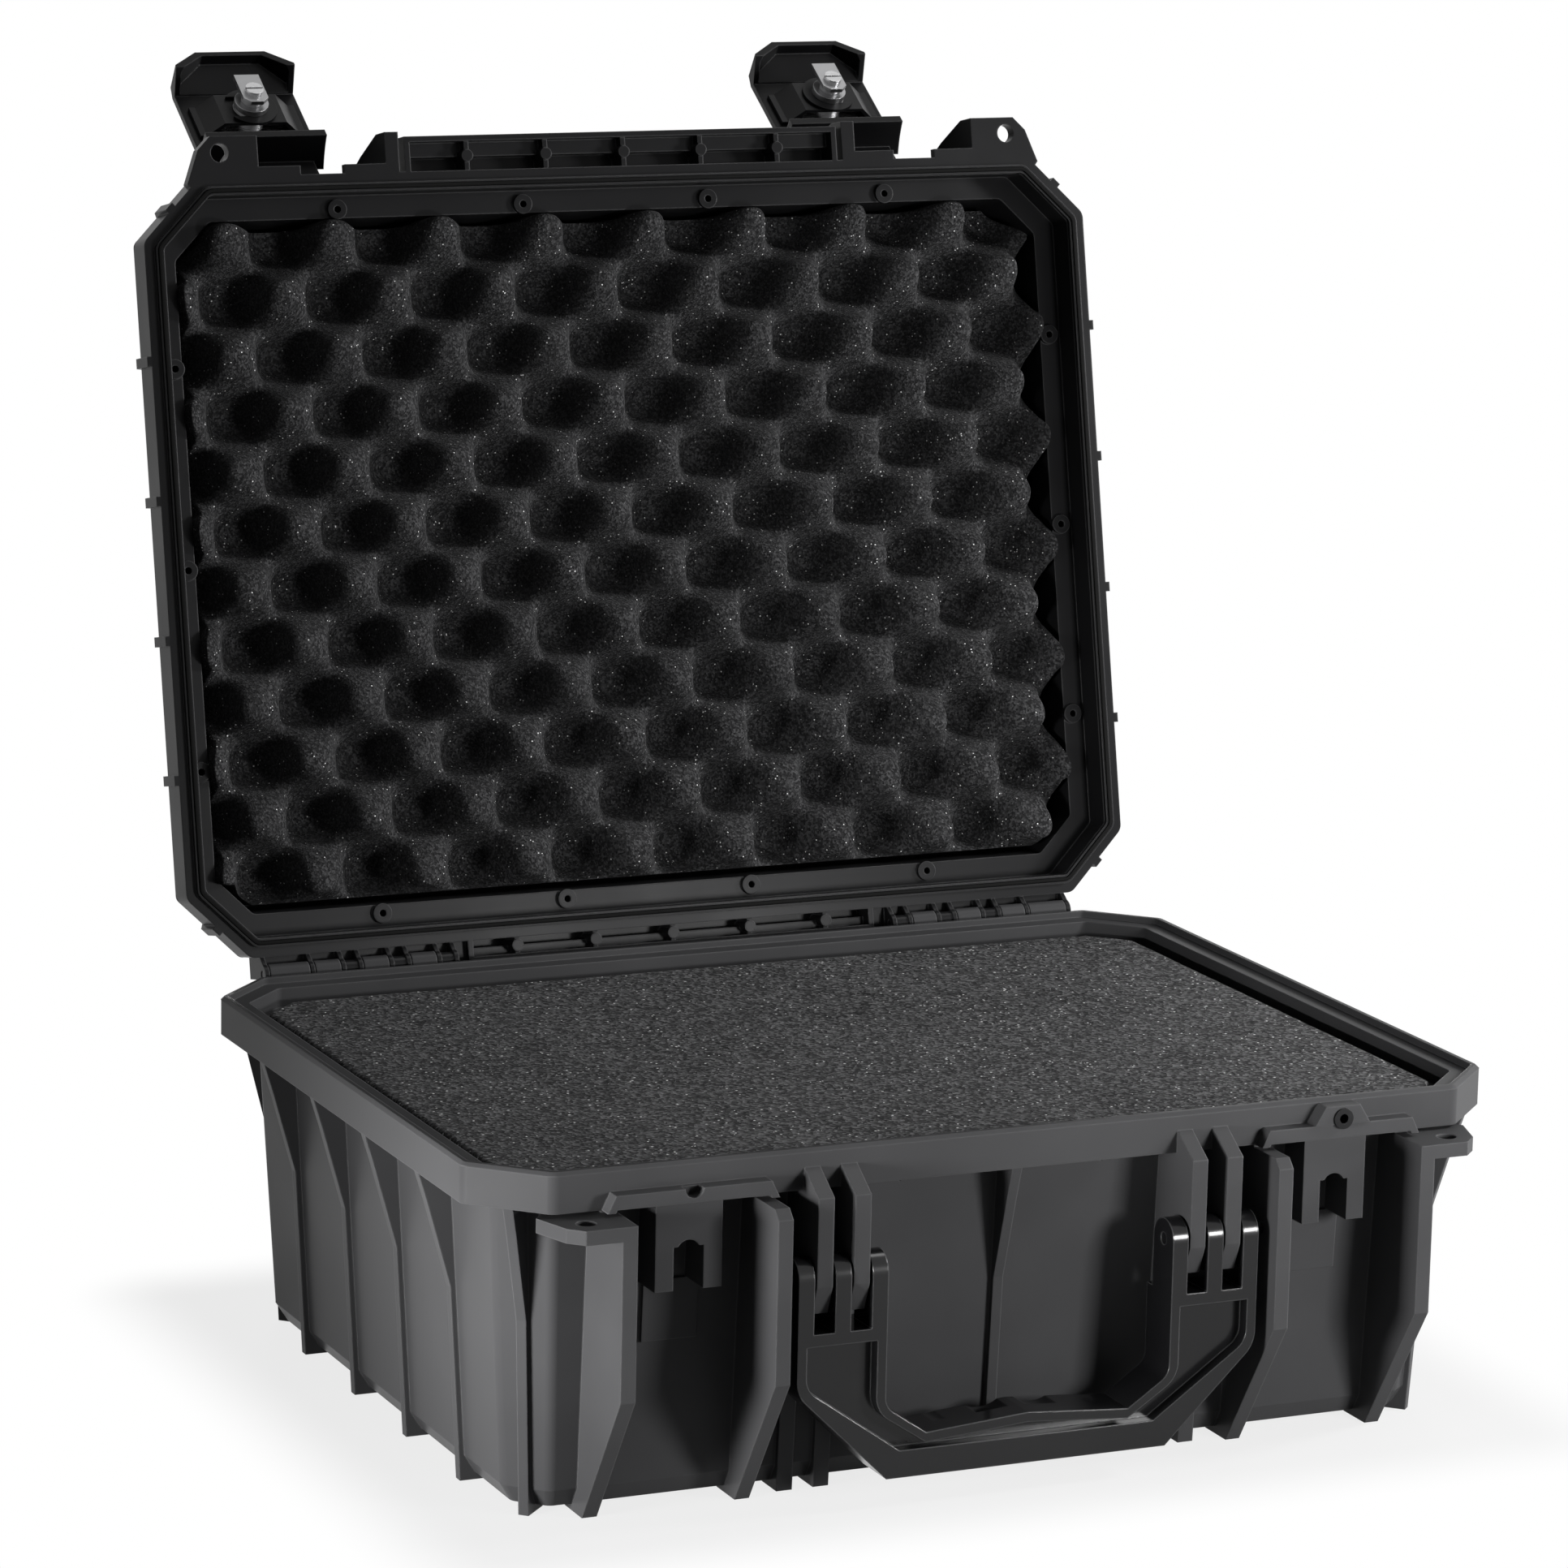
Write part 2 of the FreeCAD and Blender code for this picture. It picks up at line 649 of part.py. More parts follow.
def base_knuckles():
    """Hinge knuckles on the back of the rim band."""
    root = HALF_WIDTH - APRON / 2
    arm = [
        (root, RIM_Z - RIM_BAND),
        (HALF_WIDTH, RIM_Z - RIM_BAND),
        knuckle_point(-KNUCKLE_TANGENT),
        (HINGE_Y, HINGE_Z),
        (HALF_WIDTH, RIM_Z - HINGE_DROP),
        (root, RIM_Z - HINGE_DROP),
    ]
    solids = []
    for x0, x1 in knuckle_spans()[2]:
        solids.append(prism_x(arm, x0, x1))
        solids.append(rod_x(KNUCKLE_RADIUS, x0, x1, HINGE_Y, HINGE_Z))
    return solids


def lid_stops():
    """Back plates whose tops meet the lid's back beam when the lid is open."""
    lean = radians(HINGE_OPEN)
    face = HALF_WIDTH + BACK_BEAM_REACH - HINGE_Y + STOP_CLEARANCE
    top = []
    for rise in (0.0, BEAM_HEIGHT):
        y = HINGE_Y + face * cos(lean) + rise * sin(lean)
        z = HINGE_Z - face * sin(lean) + rise * cos(lean)
        top.append((y, z))
    root = HALF_WIDTH - APRON / 2
    low = RIM_Z - 2 * RIM_BAND
    profile = [(root, low), (top[1][0], top[1][1] - APRON), top[1], top[0], (root, top[0][1])]
    half = RIB_THICK / 2
    return [prism_x(profile, x - half, x + half) for x in back_rib_spots()]


def vent_boss():
    """Raised boss on the right rail and the solid wall behind it."""
    rail_top = RIM_Z - RAIL_TOP_DROP
    boss_top = RIM_Z - VENT_TOP_DROP
    corners = [
        (LATCH_X - VENT_BASE_HALF, rail_top),
        (LATCH_X + VENT_BASE_HALF, rail_top),
        (LATCH_X + VENT_TOP_HALF, boss_top),
        (LATCH_X - VENT_TOP_HALF, boss_top),
    ]
    boss = prism_y(corners, front(RAIL_REACH + VENT_PROUD), front(-APRON / 2))
    bar = block(LATCH_X - VENT_TOP_HALF, LATCH_X + VENT_TOP_HALF, front(-APRON / 2), front(-MOUTH_INSET),
                rail_top - APRON, RIM_Z - LIP_HEIGHT - DECK / 2)
    return joined([boss, bar])


def base_shell():
    """The whole base moulding."""
    rail = keeper_rail()
    posts, panel = strike()
    bay = [posts, panel, ear_plate(RIM_Z - FIN_TOP_DROP - EAR_THICK, FIN_REACH)]
    fin = base_fin_profile()
    bay += [wall_plate(fin, FIN_THICK, LATCH_X + s * FIN_SPREAD / 2, -HALF_WIDTH, 270) for s in (-1, 1)]
    lug = lug_profile()
    bay += [wall_plate(lug, HANDLE_TONGUE, x, -HALF_WIDTH, 270) for x in handle_spots()[1]]
    bay += base_knuckles()
    notch = rod_y(RAIL_NOTCH_RADIUS, front(RAIL_REACH + 1), front(APRON / 2),
                  -LATCH_X, RIM_Z - RAIL_TOP_DROP)
    pieces = [base_body()] + base_ribs() + both_sides(bay) + lid_stops()
    pieces += [rail, mirrored(rail).cut(notch), vent_boss()]
    hinge = rod_x(HINGE_PIN_RADIUS + PIN_CLEARANCE, -HALF_LENGTH, HALF_LENGTH, HINGE_Y, HINGE_Z)
    grip = rod_x(HANDLE_PIN_RADIUS + PIN_CLEARANCE, -LATCH_X + FIN_SPREAD / 2, LATCH_X - FIN_SPREAD / 2,
                 HANDLE_Y, HANDLE_Z)
    vent = rod_y(VENT_BORE, front(RAIL_REACH + VENT_PROUD + 1), front(-MOUTH_INSET - 1),
                 LATCH_X, RIM_Z - VENT_DROP)
    cuts = base_inside() + wall_notches() + [hinge, grip, vent]
    return joined(pieces).cut(Part.makeCompound(cuts)).removeSplitter()


def vent_parts():
    """Flanged sleeve and the membrane behind it."""
    x = LATCH_X
    z = RIM_Z - VENT_DROP
    face = front(RAIL_REACH + VENT_PROUD)
    end = face + VENT_SLEEVE_LENGTH
    flange = rod_y(VENT_FLANGE_RADIUS, face - VENT_FLANGE_THICK, face, x, z)
    tube = rod_y(VENT_BORE - VENT_GAP, face - VENT_FLANGE_THICK, end, x, z)
    way = rod_y(VENT_BORE - VENT_SLEEVE_WALL, face - 1, end + 1, x, z)
    membrane = rod_y(VENT_BORE - VENT_GAP, end + SEAT_GAP, end + SEAT_GAP + VENT_MEMBRANE, x, z)
    return flange.fuse(tube).cut(way).removeSplitter(), membrane


def lid_rib_profile():
    """Rib that wraps the lid band and runs up the lid wall."""
    top = LID_Z + LID_RIB_REACH
    return [
        (-LID_STEP, LID_Z),
        (LID_RIB_PROUD, LID_Z),
        (LID_RIB_PROUD, LID_STEP_Z - LID_RIB_PROUD),
        (-lid_inset(top), top),
        (-lid_inset(top) - WALL / 2, top),
    ]


def lid_body():
    """Lid shell before its inside is cut."""
    band = tier(0, LID_Z, 0, LID_STEP_Z - LID_BEVEL)
    bevel = tier(0, LID_STEP_Z - LID_BEVEL, LID_BEVEL, LID_STEP_Z)
    seal_rib = ring(SEAL_RIB_INSET, SEAL_RIB_INSET + SEAL_RIB_WIDTH, LID_Z - SEAL_RIB_HEIGHT, LID_Z + 1)
    crown_z = LID_TOP - BOTTOM_BEVEL
    body = tier(LID_STEP, LID_STEP_Z - 1, lid_inset(crown_z), crown_z)
    crown = tier(lid_inset(crown_z), crown_z, lid_inset(LID_TOP) + BOTTOM_DRAW_IN, LID_TOP)
    frame = ring(TOP_FRAME_INSET, TOP_FRAME_INSET + TOP_FRAME_WIDTH,
                 LID_TOP - 1, LID_TOP + TOP_FRAME_RISE)
    return joined([band, bevel, body, crown, frame, seal_rib])


def lid_inside():
    """Mouth, stepped cavity and gasket groove of the lid."""
    deep = LID_MOUTH + LEDGE_WIDTH
    mouth = tier(LID_MOUTH, LID_Z - 1, LID_MOUTH, LEDGE_Z, INNER_RADIUS)
    cavity = tier(deep, LEDGE_Z - 1, deep + LID_DRAFT / 2, LID_TOP - WALL, INNER_RADIUS)
    outer = groove_inset()
    face = LID_Z - SEAL_RIB_HEIGHT
    groove = ring(outer, outer + GROOVE_WIDTH, face - 1, face + GROOVE_DEPTH)
    return [mouth, cavity, groove]


def groove_inset():
    """Outer edge of the gasket groove, which runs along the middle of the seal rib."""
    return SEAL_RIB_INSET + (SEAL_RIB_WIDTH - GROOVE_WIDTH) / 2


def boss_spots():
    """Screw boss centres around the lid ledge."""
    x = HALF_LENGTH - BOSS_INSET
    y = HALF_WIDTH - BOSS_INSET
    long_run = [-BOSS_LONG_FAR, -BOSS_LONG_NEAR, BOSS_LONG_NEAR, BOSS_LONG_FAR]
    short_run = fitted(BOSS_SHORT_PITCH, RIM_WIDTH - 2 * BOSS_SHORT_END)
    spots = [(a, s * y) for a in long_run for s in (-1, 1)]
    return spots + [(s * x, b) for b in short_run for s in (-1, 1)]


def lid_fin_profile():
    """Side plate of a latch bay on the lid."""
    return [
        (-LID_STEP, LID_Z),
        (LID_FIN_REACH, LID_Z),
        (LID_FIN_REACH, LID_Z + LID_FIN_STRAIGHT),
        (LID_FIN_MID_REACH, LID_Z + LID_FIN_MID_RISE),
        (LID_FIN_TOP_REACH, LID_Z + LID_FIN_TOP_RISE),
        (-lid_inset(LID_Z + LID_FIN_TOP_RISE) - WALL / 2, LID_Z + LID_FIN_TOP_RISE),
    ]


def beam(half, reach):
    """Channel along the lid edge, open toward the base, with cross ribs and pegs.

    It is drawn outward from the rim edge along +Y.
    """
    top = LID_Z + BEAM_HEIGHT
    inner = reach - BEAM_WALL
    shell = block(-half, half, -APRON, reach, LID_Z, top)
    hollow = block(-half + BEAM_WALL, half - BEAM_WALL, 0, inner, LID_Z - 1, top - BEAM_WALL)
    parts = [shell.cut(hollow)]
    parts.append(block(-half, half, inner - min(BEAM_STEP_WIDTH, inner / 2), reach,
                       LID_Z + BEAM_STEP_DEPTH, top))
    for x in fitted(BEAM_RIB_PITCH, 2 * (half - BEAM_RIB_END)):
        parts.append(block(x - BEAM_RIB / 2, x + BEAM_RIB / 2, -APRON, reach,
                           LID_Z + BEAM_RIB_RECESS, top))
        parts.append(rod_z(BEAM_PEG_RADIUS, LID_Z, top, x, inner / 2))
    return joined(parts)


def placed_beams():
    """Front and back beams at the rim edge."""
    fore = beam(FRONT_BEAM_HALF, FRONT_BEAM_REACH)
    fore.rotate(Vector(0, 0, 0), Z_AXIS, 180)
    fore.translate(Vector(0, -HALF_WIDTH, 0))
    back = beam(BACK_BEAM_HALF, BACK_BEAM_REACH)
    back.translate(Vector(0, HALF_WIDTH, 0))
    return [fore, back]


def lid_knuckles():
    """Hinge barrels between pairs of gussets on the back of the lid, with a bar behind them."""
    root = HALF_WIDTH - APRON
    bar_z = LID_Z + HINGE_BAR_RISE
    arm = [
        (root, LID_Z),
        (HALF_WIDTH, LID_Z),
        knuckle_point(-90 - GUSSET_TOE),
        (HINGE_Y, HINGE_Z),
        knuckle_point(KNUCKLE_TANGENT),
        (HALF_WIDTH + BACK_BEAM_REACH, bar_z + 1),
        (root, bar_z + 1),
    ]
    barrels, gussets, _ = knuckle_spans()
    solids = [block(BACK_BEAM_HALF - BEAM_WALL, HINGE_END, root, HALF_WIDTH + BACK_BEAM_REACH,
                    bar_z, LID_Z + BEAM_HEIGHT)]
    for x0, x1 in barrels:
        solids.append(rod_x(LID_BARREL_RADIUS, x0, x1, HINGE_Y, HINGE_Z))
        gussets += [(x0, x0 + GUSSET_THICK), (x1 - GUSSET_THICK, x1)]
    for x0, x1 in gussets:
        solids.append(prism_x(arm, x0, x1))
        solids.append(rod_x(KNUCKLE_RADIUS, x0, x1, HINGE_Y, HINGE_Z))
    return solids


def lid_lips():
    """Low lips on the lid edge above the keeper, parted in the middle."""
    outer = (FIN_SPREAD - FIN_THICK) / 2 + 1
    inner = LID_LIP_GAP / 2
    spans = [(LATCH_X - outer, LATCH_X - inner), (LATCH_X + inner, LATCH_X + outer)]
    top = LID_Z + LID_LIP_HEIGHT
    return [block(a, b, front(LID_LIP_REACH), front(-1), LID_Z, top) for a, b in spans]


def lid_shell():
    """The whole lid moulding, drawn shut."""
    bay = [ear_plate(LID_Z, LID_FIN_REACH)] + lid_lips() + lid_knuckles()
    fin = lid_fin_profile()
    bay += [wall_plate(fin, FIN_THICK, LATCH_X + s * FIN_SPREAD / 2, -HALF_WIDTH, 270) for s in (-1, 1)]
    pieces = [lid_body()] + side_plates(lid_rib_profile(), RIB_THICK) + both_sides(bay) + placed_beams()
    bosses = [rod_z(BOSS_RADIUS, LEDGE_Z - BOSS_RISE, LEDGE_Z + 1, x, y) for x, y in boss_spots()]
    low = LEDGE_Z - BOSS_RISE
    cuts = [rod_z(BOSS_HOLE_RADIUS, low - 1, low + BOSS_HOLE_DEPTH, x, y) for x, y in boss_spots()]
    cuts.append(rod_x(HINGE_PIN_RADIUS + PIN_CLEARANCE, -HALF_LENGTH, HALF_LENGTH, HINGE_Y, HINGE_Z))
    pin_end = LATCH_X + FIN_SPREAD / 2 + FIN_THICK
    cuts.append(rod_x(LATCH_PIN_RADIUS + PIN_CLEARANCE, -pin_end, pin_end, LATCH_Y, LATCH_Z))
    shell = joined(pieces).cut(Part.makeCompound(lid_inside()))
    return joined([shell] + bosses).cut(Part.makeCompound(cuts)).removeSplitter()


def lid_gasket():
    """Rubber ring at the bottom of the lid groove."""
    outer = groove_inset() + GASKET_SIDE_GAP
    inner = groove_inset() + GROOVE_WIDTH - GASKET_SIDE_GAP
    top = LID_Z - SEAL_RIB_HEIGHT + GROOVE_DEPTH - GASKET_SIDE_GAP
    return ring(outer, inner, RIM_Z - LIP_HEIGHT + GASKET_GAP, top)


def foam_block(low_z, high_z):
    """Foam layer that fills the base between two heights."""
    gap = WALL + FOAM_CLEARANCE
    return tier(wall_inset(low_z) + gap, low_z, wall_inset(high_z) + gap, high_z, INNER_RADIUS)


def base_foam():
    """Bottom pad, lower block and upper block, from the floor up."""
    pad = GROUND_GAP + WALL + FOAM_SEAT_GAP
    lower = pad + FOAM_PAD_HEIGHT + FOAM_SEAT_GAP
    upper = lower + FOAM_LOWER_HEIGHT + FOAM_SEAT_GAP
    return [
        foam_block(pad, pad + FOAM_PAD_HEIGHT),
        foam_block(lower, lower + FOAM_LOWER_HEIGHT),
        foam_block(upper, RIM_Z - BASE_FOAM_DROP),
    ]


def lid_foam():
    """Egg-crate pad in the lid: a slab with staggered rows of blunt cones."""
    inset = LID_MOUTH + LEDGE_WIDTH + LID_DRAFT / 2 + FOAM_CLEARANCE
    top = LID_TOP - WALL - FOAM_SEAT_GAP
    root = top - LID_FOAM_SLAB
    trim = tier(inset, root - EGG_HEIGHT, inset, top, INNER_RADIUS)
    cones = []
    rows = int(RIM_WIDTH / EGG_ROW)
    columns = int(RIM_LENGTH / EGG_PITCH)
    for r, y in enumerate(spaced(EGG_ROW, rows)):
        for x in spaced(EGG_PITCH, columns + r % 2):
            foot = Vector(x, y, root + 1)
            cones.append(Part.makeCone(EGG_FOOT_RADIUS, EGG_TIP_RADIUS, EGG_HEIGHT + 1, foot, -Z_AXIS))
    slab = tier(inset, root, inset, top, INNER_RADIUS)
    return joined([slab, Part.makeCompound(cones).common(trim)])


def latch_cover():
    """Latch moulding of the right side: tray with a hook wall, leaf and barrel."""
    face = front(COVER_REACH)
    edge = face + COVER_DEPTH
    end = RIM_Z - COVER_END_DROP
    tray = latch_tray(COVER_HALF, end, LATCH_Z, face, edge, 0)
    tip_z = LATCH_Z - sqrt(HOOK_RADIUS ** 2 - (LATCH_Y - edge) ** 2)
    inner = latch_tray(COVER_HALF - COVER_WALL, end + COVER_WALL, tip_z - HOOK_THICK,
                       face + COVER_SKIN, edge + 1, COVER_SKIN)
    swing = rod_x(HOOK_RADIUS, LATCH_X - COVER_HALF - 1, LATCH_X + COVER_HALF + 1, LATCH_Y, LATCH_Z)
    heel = LATCH_HEEL / sqrt(2)
    bend = LID_Z + LID_FIN_STRAIGHT
    leaf = prism_x([
        (face, tip_z - HOOK_THICK),
        (face, bend),
        (front(LEAF_SHOULDER_REACH), RIM_Z + LEAF_SHOULDER_RISE),
        (LATCH_Y - heel, LATCH_Z + heel),
        (LATCH_Y, LATCH_Z + LATCH_BARREL_RADIUS),
        (LATCH_Y, LATCH_Z - LATCH_BARREL_RADIUS),
        (LATCH_Y - LEAF_THICK, LATCH_Z - LATCH_BARREL_RADIUS),
        (face + LEAF_THICK, bend - LEAF_THICK / 2),
        (face + LEAF_THICK, tip_z - HOOK_THICK),
    ], LATCH_X - LEAF_HALF, LATCH_X + LEAF_HALF)
    barrel = rod_x(LATCH_BARREL_RADIUS, LATCH_X - COVER_HALF, LATCH_X + COVER_HALF, LATCH_Y, LATCH_Z)
    bore = rod_x(LATCH_PIN_RADIUS + PIN_CLEARANCE, LATCH_X - COVER_HALF - 1, LATCH_X + COVER_HALF + 1,
                 LATCH_Y, LATCH_Z)
    lock_hole = rod_y(HOUSING_RADIUS + HOUSING_FIT, face - 1, face + COVER_SKIN + 1, LATCH_X, LOCK_Z)
    floor = face + COVER_SKIN
    open_sides = prism_x([
        (floor, end + CHEEK_FLOOR),
        (edge + 1, end + CHEEK_RIM),
        (edge + 1, tip_z - HOOK_THICK),
        (floor, tip_z - HOOK_THICK),
    ], LATCH_X - COVER_HALF - 1, LATCH_X + COVER_HALF + 1)
    body = joined([tray.cut(swing).cut(inner).cut(open_sides), leaf, barrel])
    return body.cut(Part.makeCompound([bore, lock_hole])).removeSplitter()


def latch_tray(half, end, top, face, edge, shift):
    """Tray block with cut end corners and a sloped end."""
    cut = COVER_END_CUT
    end_half = COVER_END_HALF - (COVER_HALF - half)
    plan = [
        (LATCH_X - half, top),
        (LATCH_X - half, end + cut),
        (LATCH_X - end_half, end),
        (LATCH_X + end_half, end),
        (LATCH_X + half, end + cut),
        (LATCH_X + half, top),
    ]
    slope = COVER_END_SLOPE
    toe = RIM_Z - COVER_END_DROP + shift
    corner = prism_x([
        (front(COVER_REACH) - 1, toe - 1),
        (front(COVER_REACH) + slope + shift, toe - 1),
        (front(COVER_REACH) - 1 + shift, toe + 2 * slope),
        (front(COVER_REACH) - 1, toe + 2 * slope),
    ], LATCH_X - half - 1, LATCH_X + half + 1)
    return prism_y(plan, face, edge).cut(corner)


def lock_parts():
    """Metal pieces fixed to the right latch: housing, washer, bracket and clip."""
    face = front(COVER_REACH)
    floor = face + COVER_SKIN
    flange = rod_y(HOUSING_FLANGE_RADIUS, face - HOUSING_FLANGE, face, LATCH_X, LOCK_Z)
    body = rod_y(HOUSING_RADIUS, face - HOUSING_FLANGE, front(HOUSING_END_REACH), LATCH_X, LOCK_Z)
    bore = rod_y(PLUG_RADIUS + PLUG_RUN, face - HOUSING_FLANGE - 1, front(HOUSING_END_REACH) + 1,
                 LATCH_X, LOCK_Z)
    top = floor + SEAT_GAP + BRACKET_RISE
    clip_y = top + SEAT_GAP
    groove = rod_y(HOUSING_RADIUS + 1, clip_y - SEAT_GAP / 2, clip_y + CLIP_THICK + SEAT_GAP / 2,
                   LATCH_X, LOCK_Z)
    core = rod_y(HOUSING_RADIUS - CLIP_GROOVE, clip_y - 1, clip_y + CLIP_THICK + 1, LATCH_X, LOCK_Z)
    housing = flange.fuse(body).cut(bore).cut(groove.cut(core)).removeSplitter()
    hole = rod_y(HOUSING_RADIUS + HOUSING_FIT, floor, front(0) + COVER_DEPTH, LATCH_X, LOCK_Z)
    low = floor + SEAT_GAP
    washer = rod_y(WASHER_RADIUS, low, low + WASHER_THICK, LATCH_X, LOCK_Z).cut(hole)
    return housing, washer, lock_bracket(low, top).cut(hole), lock_clip(clip_y)


def lock_bracket(low, top):
    """Hat-shaped strap across the tray."""
    outer = [
        (BRACKET_FOOT_HALF, low),
        (BRACKET_FOOT_HALF, low + BRACKET_THICK),
        (BRACKET_LEG_HALF, low + BRACKET_THICK),
        (BRACKET_TOP_HALF, top),
    ]
    inner = [
        (BRACKET_TOP_HALF - BRACKET_THICK / 2, top - BRACKET_THICK),
        (BRACKET_LEG_HALF - BRACKET_THICK, low),
    ]
    right = outer + [(-x, y) for x, y in reversed(outer)]
    loop = right + [(-x, y) for x, y in reversed(inner)] + inner
    profile = [(LATCH_X + x, y) for x, y in loop]
    return prism_z(profile, LOCK_Z - BRACKET_WIDTH / 2, LOCK_Z + BRACKET_WIDTH / 2)


def lock_clip(low):
    """Horseshoe clip in the housing groove."""
    throat = HOUSING_RADIUS - CLIP_GROOVE + HOUSING_FIT
    disc = rod_y(CLIP_RADIUS, low, low + CLIP_THICK, LATCH_X, LOCK_Z)
    hole = rod_y(throat, low - 1, low + CLIP_THICK + 1, LATCH_X, LOCK_Z)
    mouth = block(LATCH_X, LATCH_X + 2 * CLIP_RADIUS, low - 1, low + CLIP_THICK + 1,
                  LOCK_Z - throat, LOCK_Z + throat)
    return disc.cut(hole).cut(mouth)


def turning_parts():
    """Plug, cam and cam screw of the right lock, with the cam pointing down."""
    face = front(COVER_REACH) - HOUSING_FLANGE - PLUG_PROUD
    seat = front(CAM_FACE_REACH)
    back = seat + CAM_THICK
    stem = rod_y(PLUG_RADIUS, face, seat, LATCH_X, LOCK_Z)
    neck = rod_y(PLUG_NECK_RADIUS, seat, back, LATCH_X, LOCK_Z)
    slot = block(LATCH_X - KEY_SLOT_WIDTH / 2, LATCH_X + KEY_SLOT_WIDTH / 2,
                 face - 1, face + KEY_SLOT_DEPTH,
                 LOCK_Z - KEY_SLOT_LENGTH / 2, LOCK_Z + KEY_SLOT_LENGTH / 2)
    tap = rod_y(CAM_SCREW_SHANK + PIN_CLEARANCE, back - CAM_SCREW_LENGTH - 1, back + 1, LATCH_X, LOCK_Z)
    plug = stem.fuse(neck).cut(slot).cut(tap).removeSplitter()
    plan = [
        (CAM_HALF, CAM_TAIL - CAM_CORNER),
        (CAM_HALF - CAM_CORNER, CAM_TAIL),
        (CAM_CORNER - CAM_HALF, CAM_TAIL),
        (-CAM_HALF, CAM_TAIL - CAM_CORNER),
        (-CAM_HALF, -CAM_TIP),
        (CAM_HALF, -CAM_TIP),
    ]
    eye = rod_y(PLUG_NECK_RADIUS + CAM_BORE_GAP, seat - 1, back + 1, LATCH_X, LOCK_Z)
    cam = prism_y([(LATCH_X + x, LOCK_Z + z) for x, z in plan], seat, back).cut(eye)
    head = rod_y(CAM_SCREW_HEAD, back, back + CAM_SCREW_HEAD_THICK, LATCH_X, LOCK_Z)
    shank = rod_y(CAM_SCREW_SHANK, back - CAM_SCREW_LENGTH, back + 1, LATCH_X, LOCK_Z)
    drive = block(LATCH_X - CAM_SCREW_HEAD, LATCH_X + CAM_SCREW_HEAD,
                  back + CAM_SCREW_HEAD_THICK / 2, back + CAM_SCREW_HEAD_THICK + 1,
                  LOCK_Z - CAM_SCREW_SLOT / 2, LOCK_Z + CAM_SCREW_SLOT / 2)
    return plug, cam, head.fuse(shank).cut(drive).removeSplitter()


def handle_plate(border, bottom_border):
    """Right half of the handle's U as (x, z) corners, drawn in by a border."""
    outer = HANDLE_HALF - border
    inner = HANDLE_FIRST_KNUCKLE - HANDLE_TONGUE / 2 + border
    top = HANDLE_BAR_TOP - (HANDLE_BAR_HEIGHT if border else 0)
    low = HANDLE_LOW + bottom_border
    eye = HANDLE_EYE_LOW - border
    lean = border * (sqrt(2) - 1)
    return [
        (inner, top),
        (outer, top),
        (outer, HANDLE_BAR_TOP - HANDLE_STRAIGHT + lean),
        (HANDLE_GRIP_HALF - bottom_border / 2, low),
        (0, low),
        (0, eye + HANDLE_ARCH),
        (HANDLE_EYE_CORNER, eye),
        (inner, HANDLE_EYE_SIDE - lean),
    ]


def softened(half, border):
    """Half of the handle's plate or pocket with its knee and eye corner rounded."""
    plan = handle_plate(border, 0)
    for (x, z), radius in ((plan[2], HANDLE_KNEE_RADIUS - border), (plan[-1], HANDLE_EYE_RADIUS + border)):
        spot = Vector(x, half.BoundBox.Center.y, z)
        corner = [e for e in half.Edges if e.CenterOfMass.distanceToPoint(spot) < SEAM_GAP]
        half = half.makeFillet(radius, corner)
    return half


def handle():
    """Swing handle: three knuckles a side, pocketed arms and a ribbed grip."""
    face = front(HANDLE_PIVOT_REACH) - HANDLE_KNUCKLE_RADIUS
    back = face + HANDLE_DEPTH
    half = softened(prism_y(handle_plate(0, 0), face, back), 0)
    frame = joined([half, mirrored(half)])
    pocket_plan = handle_plate(HANDLE_BORDER, HANDLE_LEDGE)
    pocket = softened(prism_y(pocket_plan, face - 1, face + HANDLE_POCKET), HANDLE_BORDER)
    knuckles = []
    low = HANDLE_BAR_TOP - 1
    for x in handle_spots()[0]:
        knuckles.append(handle_knuckle(x - HANDLE_TONGUE / 2, face, low))
    body = joined([frame.cut(Part.makeCompound([pocket, mirrored(pocket)]))] + both_sides(knuckles))
    fingers = []
    reach = HANDLE_FINGER_RADIUS - HANDLE_FINGER_DEPTH
    for x in fitted(HANDLE_FINGER_PITCH, 2 * (HANDLE_EYE_CORNER - HANDLE_FINGER_END)):
        fingers.append(rod_y(HANDLE_FINGER_RADIUS, face + HANDLE_DEPTH / 2, back + 1, x,
                             HANDLE_EYE_LOW + HANDLE_ARCH + reach))
    pin_end = HANDLE_HALF + HANDLE_TONGUE / 2
    bore = rod_x(HANDLE_PIN_RADIUS + PIN_CLEARANCE, -pin_end, pin_end, HANDLE_Y, HANDLE_Z)
    return body.cut(joined(fingers)).cut(bore).removeSplitter()


def handle_knuckle(x, face, low):
    """Round-topped tongue of the handle around its pin."""
    back = face + 2 * HANDLE_KNUCKLE_RADIUS
    corners = [Vector(x, y, z) for y, z in ((back, HANDLE_Z), (back, low), (face, low), (face, HANDLE_Z))]
    crown = Part.Arc(corners[3], Vector(x, HANDLE_Y, HANDLE_Z + HANDLE_KNUCKLE_RADIUS), corners[0])
    edge = Part.Wire([Part.makePolygon(corners), crown.toShape()])
    return Part.Face(edge).extrude(Vector(HANDLE_TONGUE, 0, 0))


